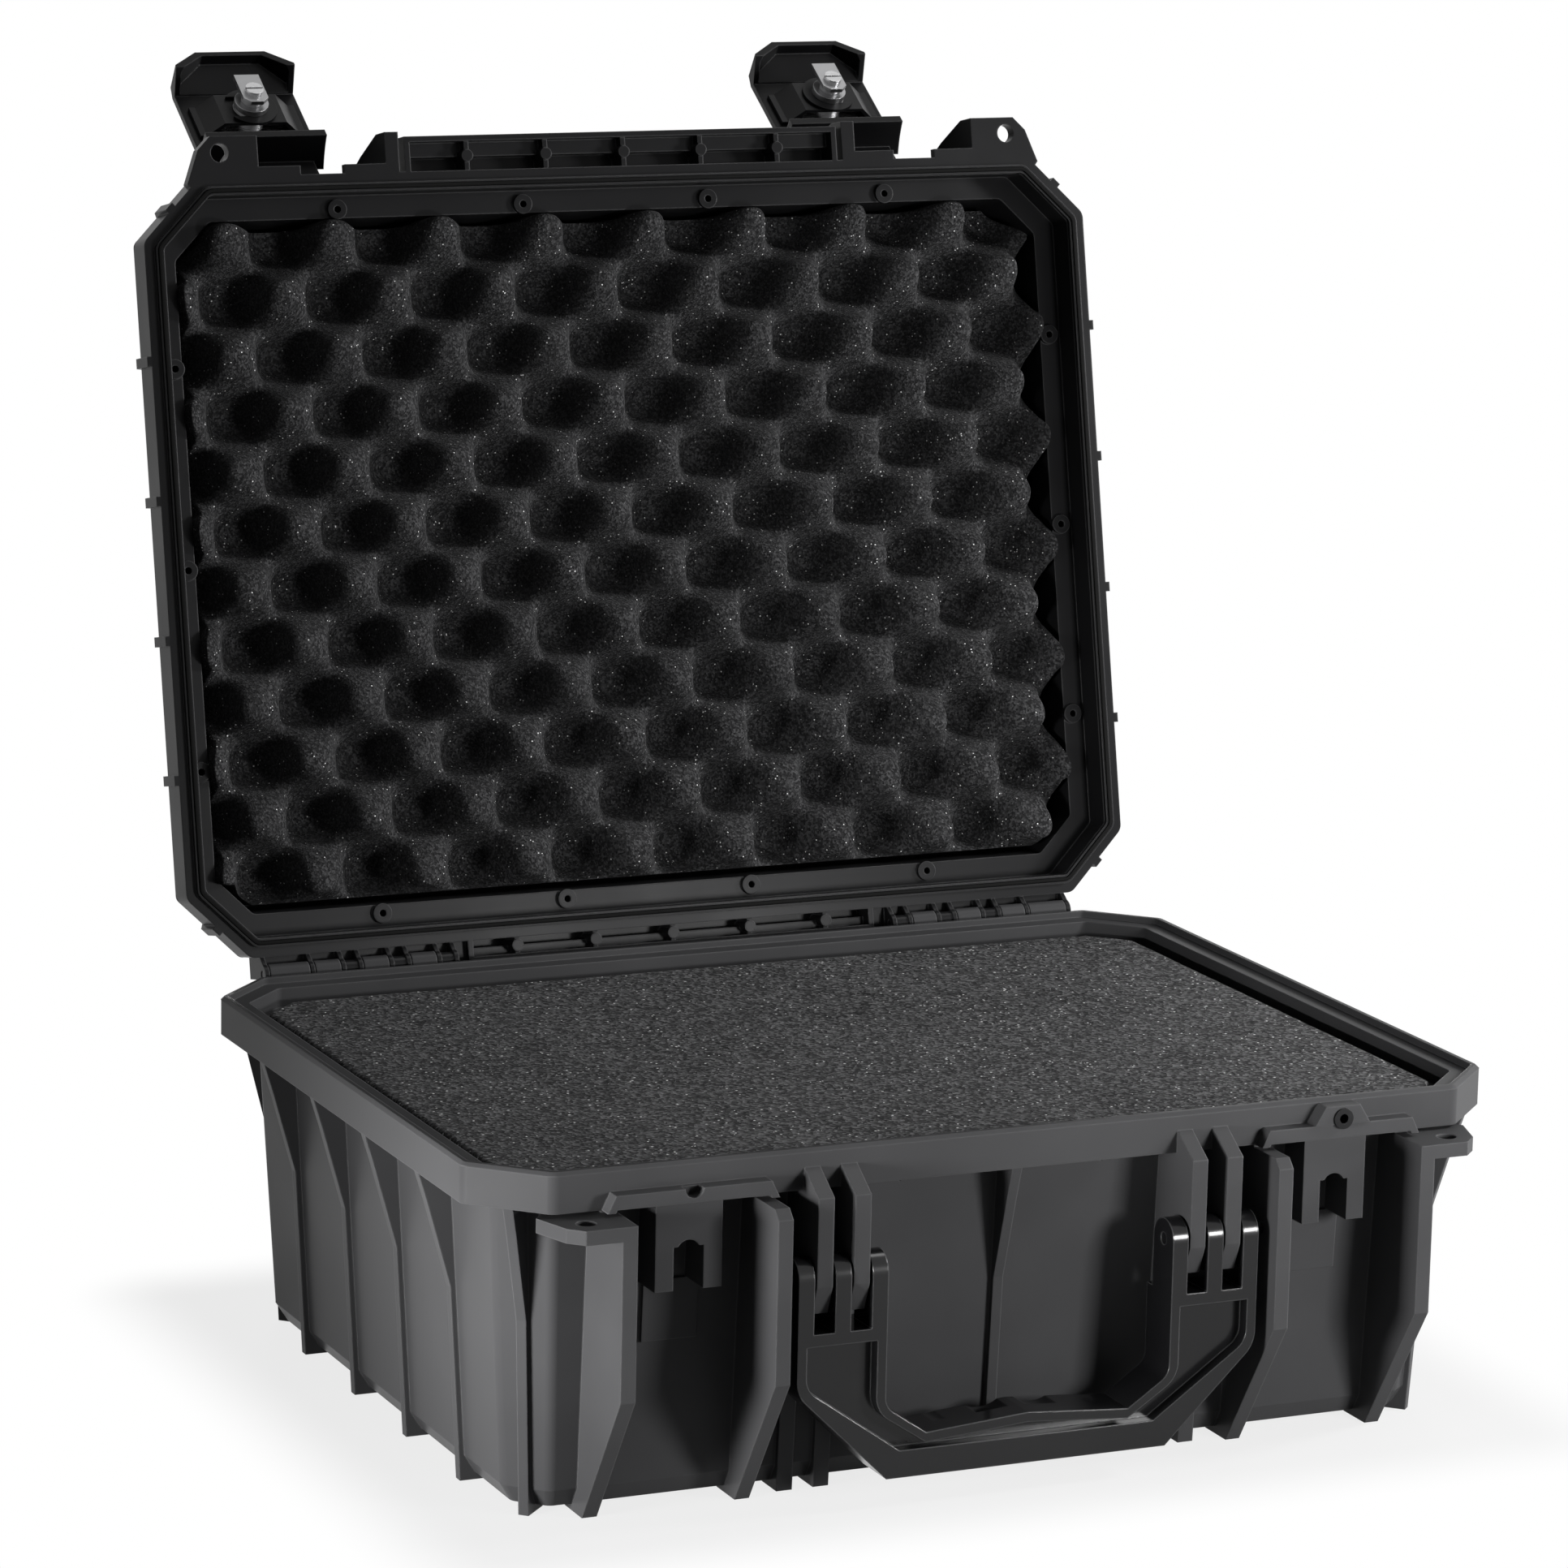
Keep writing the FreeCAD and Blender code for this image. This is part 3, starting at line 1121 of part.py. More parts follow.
def pins():
    """Hinge, handle and latch pins of the right side."""
    hinge = rod_x(HINGE_PIN_RADIUS, HINGE_START + PIN_SHY, HINGE_END - PIN_SHY, HINGE_Y, HINGE_Z)
    knuckles = handle_spots()[0]
    reach = HANDLE_TONGUE / 2 - PIN_SHY
    grip = rod_x(HANDLE_PIN_RADIUS, knuckles[0] - reach, knuckles[-1] + reach, HANDLE_Y, HANDLE_Z)
    half = FIN_SPREAD / 2 + FIN_THICK / 2 - PIN_SHY
    latch = rod_x(LATCH_PIN_RADIUS, LATCH_X - half, LATCH_X + half, LATCH_Y, LATCH_Z)
    return hinge, grip, latch


def opened_lid(shape):
    """A lid piece turned from shut to the rest pose."""
    turned = shape.copy()
    turned.rotate(Vector(0, HINGE_Y, HINGE_Z), X_AXIS, -HINGE_OPEN)
    return turned


def opened_latch(shape):
    """A latch piece flipped up and then carried by the open lid."""
    turned = shape.copy()
    turned.rotate(Vector(0, LATCH_Y, LATCH_Z), X_AXIS, -LATCH_OPEN)
    return opened_lid(turned)


def shut_nodes():
    """Every piece by name, drawn with the case shut."""
    pad, lower, upper = base_foam()
    sleeve, membrane = vent_parts()
    hinge, grip, latch_pin = pins()
    housing, washer, bracket, clip = lock_parts()
    plug, cam, screw = turning_parts()
    nodes = {
        "base_shell": base_shell(),
        "base_foam_pad": pad,
        "base_foam_lower": lower,
        "base_foam_upper": upper,
        "vent_sleeve": sleeve,
        "vent_membrane": membrane,
        "lid_shell": lid_shell(),
        "lid_gasket": lid_gasket(),
        "lid_foam": lid_foam(),
        "handle": handle(),
    }
    paired = {
        "hinge_pin": hinge,
        "handle_pin": grip,
        "latch_pin": latch_pin,
        "latch_cover": latch_cover(),
        "lock_housing": housing,
        "lock_washer": washer,
        "lock_bracket": bracket,
        "lock_clip": clip,
        "lock_plug": plug,
        "lock_cam": cam,
        "cam_screw": screw,
    }
    for name, shape in paired.items():
        nodes[name + "_right"] = shape
        nodes[name + "_left"] = mirrored(shape)
    return nodes


LID_PIECES = ("lid_", "latch_pin")
LATCH_PIECES = ("latch_cover", "lock_", "cam_screw")


def rest_pose(name, shape):
    """The piece where it sits in the rest pose."""
    if name.startswith(LATCH_PIECES):
        return opened_latch(shape)
    if name.startswith(LID_PIECES):
        return opened_lid(shape)
    return shape


def main():
    """Write one STEP file for each piece in the rest pose."""
    os.makedirs("parts", exist_ok=True)
    for name, shape in shut_nodes().items():
        rest_pose(name, shape).exportStep("parts/" + name + ".step")


main()
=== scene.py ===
"""Looks of a moulded hard case that stands open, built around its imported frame.

The frame gives the shells, latches, locks, handle and pins. This script dresses
them, models the foam lining, and sets up the floor, the lamps and the camera.
"""
from __future__ import annotations

import json
import logging
import math
from dataclasses import dataclass
from enum import Enum
from typing import Any

import bmesh
import bpy
from mathutils import Matrix, Vector, noise

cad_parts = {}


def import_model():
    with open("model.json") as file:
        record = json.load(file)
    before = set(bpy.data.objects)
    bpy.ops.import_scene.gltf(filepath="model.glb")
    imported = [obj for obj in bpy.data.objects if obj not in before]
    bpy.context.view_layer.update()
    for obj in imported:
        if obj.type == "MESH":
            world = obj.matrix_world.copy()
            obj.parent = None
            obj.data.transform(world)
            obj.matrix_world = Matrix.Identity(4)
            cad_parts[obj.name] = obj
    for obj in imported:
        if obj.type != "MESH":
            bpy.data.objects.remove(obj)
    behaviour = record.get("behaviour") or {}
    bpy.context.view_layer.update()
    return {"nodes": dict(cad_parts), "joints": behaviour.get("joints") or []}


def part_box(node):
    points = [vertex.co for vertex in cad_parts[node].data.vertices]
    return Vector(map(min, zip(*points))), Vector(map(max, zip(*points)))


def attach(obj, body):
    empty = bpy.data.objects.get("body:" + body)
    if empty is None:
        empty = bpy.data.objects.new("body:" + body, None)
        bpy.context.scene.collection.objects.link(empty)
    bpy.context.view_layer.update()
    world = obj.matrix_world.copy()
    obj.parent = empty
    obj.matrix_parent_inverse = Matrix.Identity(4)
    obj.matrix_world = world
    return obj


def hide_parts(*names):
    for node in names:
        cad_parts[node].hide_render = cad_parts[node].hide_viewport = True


LOG = logging.getLogger("hard_case")
MM = 0.001
PHOTO_PIXELS = 1932.0
WHITE = "ffffff"
EDGE_SAMPLES = 4

# Sockets of the Mix node that share their names with others, by number
COLOUR_A = 6
COLOUR_B = 7
MIXED_COLOUR = 2
VALUE_A = 2
VALUE_B = 3
MIXED_VALUE = 0


class Body(Enum):
    """Moving bodies of the case that new pieces ride on."""

    BASE = "base"
    LID = "lid"


class Side(Enum):
    """Sides of the case, seen from its front."""

    LEFT = "left"
    RIGHT = "right"


def linear(hex_colour: str) -> tuple[float, float, float, float]:
    """Turn an sRGB hex colour into linear RGBA.

    Args:
        hex_colour: Colour such as "1d1d1e".

    Returns:
        Linear red, green and blue with an alpha of one.
    """
    parts = [int(hex_colour[i:i + 2], 16) / 255 for i in (0, 2, 4)]
    red, green, blue = (c / 12.92 if c <= 0.04045 else ((c + 0.055) / 1.055) ** 2.4 for c in parts)
    return red, green, blue, 1.0


def per_metre(size_mm: float) -> float:
    """Texture scale whose features are this many millimetres across."""
    return 1 / (size_mm * MM)


def add_node(tree: bpy.types.NodeTree, kind: str, inputs: dict[Any, Any] | None = None,
             **settings: Any) -> bpy.types.Node:
    """Add a shader node with its settings, values and links.

    Args:
        tree: Node tree of a material or the world.
        kind: Blender's node type name.
        inputs: Socket names or numbers with a value or a socket to link from.
        **settings: Attributes of the node, such as operation or blend_type.

    Returns:
        The new node.
    """
    node = tree.nodes.new(kind)
    for name, value in settings.items():
        setattr(node, name, value)
    for name, value in (inputs or {}).items():
        if isinstance(value, bpy.types.NodeSocket):
            tree.links.new(value, node.inputs[name])
        else:
            node.inputs[name].default_value = value
    return node


def seen_directly(tree: bpy.types.NodeTree) -> bpy.types.NodeSocket:
    """Tell rays of the camera, of mirrors and of glass from rays of light.

    Args:
        tree: Node tree of a material or the world.

    Returns:
        A socket that is one for what is seen and zero for what only lights.
    """
    path = add_node(tree, "ShaderNodeLightPath")
    mirrored = add_node(tree, "ShaderNodeMath",
                        {0: path.outputs["Is Camera Ray"], 1: path.outputs["Is Glossy Ray"]},
                        operation="MAXIMUM")
    clear = add_node(tree, "ShaderNodeMath",
                     {0: mirrored.outputs["Value"], 1: path.outputs["Is Transmission Ray"]},
                     operation="MAXIMUM")
    return clear.outputs["Value"]


@dataclass(frozen=True)
class Finish:
    """Surface finish with one colour and one gloss."""

    name: str
    colour: str
    roughness: float

    def material(self) -> bpy.types.Material:
        """Make the material, or give the one that is already there.

        Returns:
            The material with this finish's name.
        """
        found = bpy.data.materials.get(self.name)
        if found is not None:
            return found
        material = bpy.data.materials.new(self.name)
        material.use_nodes = True
        tree = material.node_tree
        tree.nodes.clear()
        shader = add_node(tree, "ShaderNodeBsdfPrincipled",
                          {"Base Color": linear(self.colour), "Roughness": self.roughness})
        add_node(tree, "ShaderNodeOutputMaterial", {"Surface": shader.outputs["BSDF"]})
        self.pattern(tree, shader)
        return material

    def pattern(self, tree: bpy.types.NodeTree, shader: bpy.types.Node) -> None:
        """Add the finish's own texture to the shader."""


@dataclass(frozen=True)
class MouldedPolymer(Finish):
    """Black plastic or rubber from a lightly grained mould.

    The eye sees a soft grey sheen that changes slowly along the flow of the
    melt, a fine grain, and edges painted a little paler as a painted highlight. An edge is found where
    the true normal leaves a softened one: edge_highlight_begins and edge_highlight_full are the cosines
    of the angle between the two.
    """

    pale_colour: str = "424243"
    edge_highlighted_colour: str = "6a6a6b"
    specular: float = 0.04
    grain_mm: float = 0.7
    grain_depth_mm: float = 0.05
    grain_strength: float = 0.35
    grain_detail: float = 2.0
    flow_mm: float = 55.0
    flow_detail: float = 3.0
    gloss_change: float = 0.10
    edge_mm: float = 0.9
    edge_highlight_share: float = 0.5
    edge_highlight_begins: float = 0.985
    edge_highlight_full: float = 0.8

    def pattern(self, tree: bpy.types.NodeTree, shader: bpy.types.Node) -> None:
        """Add the flow marks, the mould grain and the painted edge highlights.

        Args:
            tree: Node tree of the material.
            shader: The material's surface shader.
        """
        place = add_node(tree, "ShaderNodeTexCoord").outputs["Object"]
        flow = add_node(tree, "ShaderNodeTexNoise",
                        {"Vector": place, "Scale": per_metre(self.flow_mm), "Detail": self.flow_detail})
        tone = add_node(tree, "ShaderNodeMix",
                        {"Factor": flow.outputs["Fac"], COLOUR_A: linear(self.colour),
                         COLOUR_B: linear(self.pale_colour)}, data_type="RGBA")
        gloss = add_node(tree, "ShaderNodeMapRange",
                         {"Value": flow.outputs["Fac"],
                          "To Min": self.roughness - self.gloss_change,
                          "To Max": self.roughness + self.gloss_change})
        soft = add_node(tree, "ShaderNodeBevel", {"Radius": self.edge_mm * MM}, samples=EDGE_SAMPLES)
        true = add_node(tree, "ShaderNodeNewGeometry")
        along = add_node(tree, "ShaderNodeVectorMath",
                         {0: soft.outputs["Normal"], 1: true.outputs["Normal"]},
                         operation="DOT_PRODUCT")
        # Painted highlight: edges are painted paler in the base colour, standing in for light caught
        # along them
        edge = add_node(tree, "ShaderNodeMapRange",
                        {"Value": along.outputs["Value"], "From Min": self.edge_highlight_begins,
                         "From Max": self.edge_highlight_full, "To Max": self.edge_highlight_share})
        edge_highlighted = add_node(tree, "ShaderNodeMix",
                          {"Factor": edge.outputs["Result"], COLOUR_A: tone.outputs[MIXED_COLOUR],
                           COLOUR_B: linear(self.edge_highlighted_colour)}, data_type="RGBA")
        grain = add_node(tree, "ShaderNodeTexNoise",
                         {"Vector": place, "Scale": per_metre(self.grain_mm),
                          "Detail": self.grain_detail})
        bump = add_node(tree, "ShaderNodeBump",
                        {"Height": grain.outputs["Fac"], "Strength": self.grain_strength,
                         "Distance": self.grain_depth_mm * MM, "Normal": soft.outputs["Normal"]})
        shader.inputs["Specular IOR Level"].default_value = self.specular
        tree.links.new(edge_highlighted.outputs[MIXED_COLOUR], shader.inputs["Base Color"])
        tree.links.new(gloss.outputs["Result"], shader.inputs["Roughness"])
        tree.links.new(bump.outputs["Normal"], shader.inputs["Normal"])


@dataclass(frozen=True)
class PolyurethaneFoam(Finish):
    """Charcoal open-cell foam, cut with a blade.

    The eye sees a dull dark surface full of cells, with single cell walls that
    catch the light, painted into the colour as bright sparks (a painted glint). The cells are drawn two
    to three times their real size, because real ones would be too fine to show.
    """

    pale_colour: str = "3a3a3b"
    painted_glint_colour: str = "e6e6e6"
    specular: float = 0.15
    cell_mm: float = 1.4
    cell_depth_mm: float = 0.5
    cell_strength: float = 0.6
    cell_contrast: float = 2.0
    painted_glint_share: float = 0.01
    painted_glint_radius: float = 0.36
    cloud_mm: float = 26.0
    cloud_share: float = 0.15
    cloud_detail: float = 4.0
    cloud_dark: float = 0.10
    cloud_pale: float = 0.44
    grit_cells: float = 2.0
    grit_detail: float = 3.0

    def pattern(self, tree: bpy.types.NodeTree, shader: bpy.types.Node) -> None:
        """Add the cells, the painted glints and slow changes of tone.

        Args:
            tree: Node tree of the material.
            shader: The material's surface shader.
        """
        place = add_node(tree, "ShaderNodeTexCoord").outputs["Object"]
        cells = add_node(tree, "ShaderNodeTexVoronoi",
                         {"Vector": place, "Scale": per_metre(self.cell_mm)})
        pick = add_node(tree, "ShaderNodeSeparateColor", {"Color": cells.outputs["Color"]})
        each = add_node(tree, "ShaderNodeMath",
                        {0: pick.outputs["Green"], 1: self.cell_contrast}, operation="POWER")
        mottled = add_node(tree, "ShaderNodeMix",
                           {"Factor": self.cloud_share, VALUE_A: each.outputs["Value"],
                            VALUE_B: self.clouds(tree, place)}, data_type="FLOAT")
        tone = add_node(tree, "ShaderNodeMix",
                        {"Factor": mottled.outputs[MIXED_VALUE], COLOUR_A: linear(self.colour),
                         COLOUR_B: linear(self.pale_colour)}, data_type="RGBA")
        # Painted glint: a few cell middles are painted near white, standing in for light caught by
        # single cell walls
        chosen = add_node(tree, "ShaderNodeMath",
                          {0: pick.outputs["Red"], 1: 1 - self.painted_glint_share},
                          operation="GREATER_THAN")
        middle = add_node(tree, "ShaderNodeMath",
                          {0: cells.outputs["Distance"], 1: self.painted_glint_radius},
                          operation="LESS_THAN")
        painted_glint = add_node(tree, "ShaderNodeMath",
                         {0: chosen.outputs["Value"], 1: middle.outputs["Value"]},
                         operation="MULTIPLY")
        colour = add_node(tree, "ShaderNodeMix",
                          {"Factor": painted_glint.outputs["Value"], COLOUR_A: tone.outputs[MIXED_COLOUR],
                           COLOUR_B: linear(self.painted_glint_colour)}, data_type="RGBA")
        bump = add_node(tree, "ShaderNodeBump",
                        {"Height": cells.outputs["Distance"], "Strength": self.cell_strength,
                         "Distance": self.cell_depth_mm * MM})
        shader.inputs["Specular IOR Level"].default_value = self.specular
        tree.links.new(colour.outputs[MIXED_COLOUR], shader.inputs["Base Color"])
        tree.links.new(bump.outputs["Normal"], shader.inputs["Normal"])

    def clouds(self, tree: bpy.types.NodeTree, place: bpy.types.NodeSocket) -> bpy.types.NodeSocket:
        """Add slow changes of tone, broken up by grit.

        Args:
            tree: Node tree of the material.
            place: Socket with the place on the piece.

        Returns:
            A socket that runs from zero, dark, to one, pale.
        """
        cloud = add_node(tree, "ShaderNodeTexNoise",
                         {"Vector": place, "Scale": per_metre(self.cloud_mm),
                          "Detail": self.cloud_detail})
        grit = add_node(tree, "ShaderNodeTexNoise",
                        {"Vector": place, "Scale": per_metre(self.cell_mm * self.grit_cells),
                         "Detail": self.grit_detail})
        share = add_node(tree, "ShaderNodeMath",
                         {0: cloud.outputs["Fac"], 1: grit.outputs["Fac"]}, operation="MULTIPLY")
        spread = add_node(tree, "ShaderNodeMapRange",
                          {"Value": share.outputs["Value"], "From Min": self.cloud_dark,
                           "From Max": self.cloud_pale})
        return spread.outputs["Result"]


@dataclass(frozen=True)
class FinishedMetal(Finish):
    """Metal, bare or coated, with fine tool marks.

    The eye sees highlights that break up along the marks and soft bright edges.
    """

    mark_mm: float = 0.5
    mark_stretch: float = 12.0
    mark_detail: float = 2.0
    mark_strength: float = 0.1
    mark_depth_mm: float = 0.05
    gloss_change: float = 0.12
    edge_mm: float = 0.3
    metallic: float = 1.0
    specular: float = 0.5

    def pattern(self, tree: bpy.types.NodeTree, shader: bpy.types.Node) -> None:
        """Add tool marks that vary the gloss.

        Args:
            tree: Node tree of the material.
            shader: The material's surface shader.
        """
        place = add_node(tree, "ShaderNodeTexCoord").outputs["Object"]
        turned = add_node(tree, "ShaderNodeMapping",
                          {"Vector": place, "Scale": (1.0, self.mark_stretch, 1.0)})
        marks = add_node(tree, "ShaderNodeTexNoise",
                         {"Vector": turned.outputs["Vector"],
                          "Scale": per_metre(self.mark_mm * self.mark_stretch),
                          "Detail": self.mark_detail})
        gloss = add_node(tree, "ShaderNodeMapRange",
                         {"Value": marks.outputs["Fac"],
                          "To Min": self.roughness - self.gloss_change,
                          "To Max": self.roughness + self.gloss_change})
        soft = add_node(tree, "ShaderNodeBevel", {"Radius": self.edge_mm * MM}, samples=EDGE_SAMPLES)
        bump = add_node(tree, "ShaderNodeBump",
                        {"Height": marks.outputs["Fac"], "Strength": self.mark_strength,
                         "Distance": self.mark_depth_mm * MM, "Normal": soft.outputs["Normal"]})
        shader.inputs["Metallic"].default_value = self.metallic
        shader.inputs["Specular IOR Level"].default_value = self.specular
        tree.links.new(gloss.outputs["Result"], shader.inputs["Roughness"])
        tree.links.new(bump.outputs["Normal"], shader.inputs["Normal"])


@dataclass(frozen=True)
class WhiteBoard(Finish):
    """Matt white board that keeps the shadow beside the case and fades to white around it."""

    half_length: float = 0.23
    half_width: float = 0.19
    fade_from: float = 0.0
    fade_to: float = 0.06
    least_white: float = 0.8

    def pattern(self, tree: bpy.types.NodeTree, shader: bpy.types.Node) -> None:
        """Mix plain white over the lit board with growing distance from the case.

        Args:
            tree: Node tree of the material.
            shader: The material's surface shader.
        """
        place = add_node(tree, "ShaderNodeTexCoord").outputs["Object"]
        folded = add_node(tree, "ShaderNodeVectorMath", {0: place}, operation="ABSOLUTE")
        beyond = add_node(tree, "ShaderNodeVectorMath",
                          {0: folded.outputs["Vector"],
                           1: (self.half_length, self.half_width, 0.0)}, operation="SUBTRACT")
        outside = add_node(tree, "ShaderNodeVectorMath",
                           {0: beyond.outputs["Vector"], 1: (0.0, 0.0, 0.0)}, operation="MAXIMUM")
        away = add_node(tree, "ShaderNodeVectorMath", {0: outside.outputs["Vector"]},
                        operation="LENGTH")
        fade = add_node(tree, "ShaderNodeMapRange",
                        {"Value": away.outputs["Value"], "From Min": self.fade_from,
                         "From Max": self.fade_to, "To Min": self.least_white},
                        interpolation_type="SMOOTHSTEP")
        share = add_node(tree, "ShaderNodeMath",
                         {0: fade.outputs["Result"], 1: seen_directly(tree)}, operation="MULTIPLY")
        white = add_node(tree, "ShaderNodeEmission", {"Color": linear(WHITE), "Strength": 1.0})
        mixed = add_node(tree, "ShaderNodeMixShader",
                         {0: share.outputs["Value"], 1: shader.outputs["BSDF"],
                          2: white.outputs["Emission"]})
        output = next(node for node in tree.nodes if node.type == "OUTPUT_MATERIAL")
        tree.links.new(mixed.outputs["Shader"], output.inputs["Surface"])


# The base is matt and dark grey, with hardly any shine
SHELL_PLASTIC = MouldedPolymer("moulded_polypropylene", "363637", 0.36)
# Painted shade: the lid gets a darker copy of the base's plastic, standing in for the shade on its
# faces, which turn away from the lamps
SHADED_LID_PLASTIC = MouldedPolymer("moulded_polypropylene_lid_painted_shade", "151516", 0.34, pale_colour="1c1c1d",
                             specular=0.08)
# The latch covers are nearly black
LATCH_PLASTIC = MouldedPolymer("moulded_polypropylene_latch", "0b0b0c", 0.30, pale_colour="111112",
                               specular=0.08)
# The handle comes from a smoother mould and has clear highlights
HANDLE_PLASTIC = MouldedPolymer("moulded_nylon", "0c0c0d", 0.20, pale_colour="121213", specular=0.3,
                                grain_strength=0.08, gloss_change=0.04)
# The sawn base foam shows grey grains on black
BASE_FOAM = PolyurethaneFoam("polyurethane_foam_base", "060607", 0.95, pale_colour="6e6e6f",
                             painted_glint_share=0.03)
# The lid foam has a finer, more even grain, so that its bumps show by their shading
LID_FOAM = PolyurethaneFoam("polyurethane_foam_lid", "0e0e0f", 0.95, pale_colour="4a4a4b",
                            cell_mm=0.9, painted_glint_share=0.02)
# The seal is dull and black, without the painted edge highlights
SEAL_RUBBER = MouldedPolymer("moulded_nitrile_rubber", "0a0a0a", 0.65, pale_colour="0e0e0e",
                             specular=0.05, edge_highlight_share=0.0)
# The coating hides the metal under a dull black
COATED_STEEL = FinishedMetal("black_coated_steel", "0c0c0d", 0.35, metallic=0.0, specular=0.12)
# The plating is bright
PLATED_STEEL = FinishedMetal("nickel_plated_steel", "b4b4b5", 0.26)
# The castings are darker and duller than the plated pieces
CAST_ZINC = FinishedMetal("die_cast_zinc", "8c8c8d", 0.34)
# The membrane is a plain matt grey
VENT_CLOTH = Finish("sintered_vent_membrane", "6b6b6c", 0.8)
FLOOR_BOARD = WhiteBoard("matt_white_board", "909090", 0.9)


def rounded_wave(turns: float, steepness: float) -> float:
    """Wave between plus and minus one with flattened crests.

    Args:
        turns: Place along the wave in whole periods.
        steepness: How much the flanks are steeper than a sine's.

    Returns:
        Height of the wave.
    """
    return math.tanh(steepness * math.cos(math.tau * turns)) / math.tanh(steepness)


@dataclass(frozen=True)
class RimOutline:
    """Eight-sided outline of the rim, which all foam follows, in millimetres."""

    half_length: float = 232.5
    half_width: float = 174.0
    corner_cut: float = 28.0

    def width_at(self, half_length: float) -> float:
        """Half width of an outline that is set in from the rim."""
        return half_length - (self.half_length - self.half_width)

    def cut_at(self, half_length: float) -> float:
        """Corner cut of an outline that is set in from the rim."""
        return self.corner_cut - (self.half_length - half_length) * (2 - math.sqrt(2))


@dataclass
class CutFoam:
    """Foam blank with eight sides: a fine top sheet, straight sides and a flat back."""

    half_length: float
    half_width: float
    corner_cut: float
    top: float
    back: float
    draw_in: float
    cell: float
    edge_radius: float

    def relief(self, x: float, y: float) -> float:
        """Depth of the top sheet under its highest plane at a place, in millimetres."""
        return 0.0

    def overhang(self, depth: float) -> float:
        """How far the sheet spreads over its outline at a depth, in millimetres."""
        return 0.0

    def blank(self) -> bmesh.types.BMesh:
        """Make the foam body in millimetres.

        Returns:
            A closed bmesh whose top sheet follows the relief.
        """
        shape = bmesh.new()
        bmesh.ops.create_grid(shape, x_segments=round(2 * self.half_length / self.cell),
                              y_segments=round(2 * self.half_width / self.cell), size=1.0)
        sign = 1 if self.top > self.back else -1
        for vert in shape.verts:
            y = vert.co.y * self.half_width
            reach = self.half_length - max(0.0, abs(y) - (self.half_width - self.corner_cut))
            x = vert.co.x * reach
            depth = self.relief(x, y)
            spread = self.overhang(depth)
            vert.co = Vector((x * (1 + spread / self.half_length),
                              y * (1 + spread / self.half_width), self.top - sign * depth))
        rim = [edge for edge in shape.edges if edge.is_boundary]
        skirt = bmesh.ops.extrude_edge_only(shape, edges=rim)["geom"]
        for vert in (part for part in skirt if isinstance(part, bmesh.types.BMVert)):
            vert.co.x *= 1 - self.draw_in / self.half_length
            vert.co.y *= 1 - self.draw_in / self.half_width
            vert.co.z = self.back
        bmesh.ops.holes_fill(shape, edges=[edge for edge in shape.edges if edge.is_boundary])
        bmesh.ops.bevel(shape, geom=rim, offset=self.edge_radius, segments=2, affect="EDGES",
                        profile=0.5, material=-1)
        bmesh.ops.recalc_face_normals(shape, faces=shape.faces)
        return shape

    def build(self, name: str, node: str, finish: Finish, body: Body, turn: Matrix) -> None:
        """Make the foam piece and put it in the place of a frame node.

        Args:
            name: Name of the piece.
            node: Frame node that the piece stands for.
            finish: Finish of the whole piece.
            body: Body that carries the piece.
            turn: Turn from the shut case to the frame's rest pose, in metres.
        """
        shape = self.blank()
        bmesh.ops.transform(shape, matrix=turn @ Matrix.Scale(MM, 4), verts=shape.verts)
        mesh = bpy.data.meshes.new(name)
        shape.to_mesh(mesh)
        shape.free()
        mesh.shade_smooth()
        mesh.materials.append(finish.material())
        piece = bpy.data.objects.new(name, mesh)
        bpy.context.scene.collection.objects.link(piece)
        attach(piece, body.value)
        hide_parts(node)
        LOG.info("built %s with %d faces", name, len(mesh.polygons))


@dataclass
class SawnFoam(CutFoam):
    """One layer of the base lining with a slightly uneven sawn top."""

    swell_mm: float = 0.5
    swell_size: float = 70.0
    dent_mm: float = 0.35
    dent_size: float = 9.0

    def relief(self, x: float, y: float) -> float:
        """Slow swell and small dents of a sawn top.

        Args:
            x: Place along the length in millimetres.
            y: Place along the width in millimetres.

        Returns:
            Depth under the highest plane in millimetres.
        """
        swell = noise.noise(Vector((x, y, 0.0)) / self.swell_size)
        dent = noise.noise(Vector((x, y, self.dent_size)) / self.dent_size)
        return self.swell_mm * (0.5 + 0.5 * swell) + self.dent_mm * max(0.0, dent)


@dataclass
class EggCrateFoam(CutFoam):
    """Lid pad with staggered rows of rounded bumps and equal hollows."""

    pitch: float = 50.7
    first_bump: float = 13.4
    row: float = 25.8
    first_row: float = -145.1
    height: float = 32.0
    steepness: float = 1.3
    row_steepness: float = 1.0
    uneven: float = 1.2
    free_depth: float = 8.0
    bulge: float = 5.0

    def overhang(self, depth: float) -> float:
        """Bumps that stand clear of the lid's ledge spread over it."""
        return self.bulge * max(0.0, 1 - depth / self.free_depth)

    def relief(self, x: float, y: float) -> float:
        """Depth under the bump tips of the wavy sheet.

        Args:
            x: Place along the length in millimetres.
            y: Place along the width in millimetres.

        Returns:
            Depth under the highest plane in millimetres.
        """
        along = rounded_wave((x - self.first_bump) / self.pitch, self.steepness)
        across = rounded_wave((y - self.first_row) / (2 * self.row), self.row_steepness)
        drift = self.uneven * (0.5 + 0.5 * noise.noise(Vector((x, y, 0.0)) / self.pitch))
        return drift + (self.height - self.uneven) * (0.5 - 0.5 * along * across)


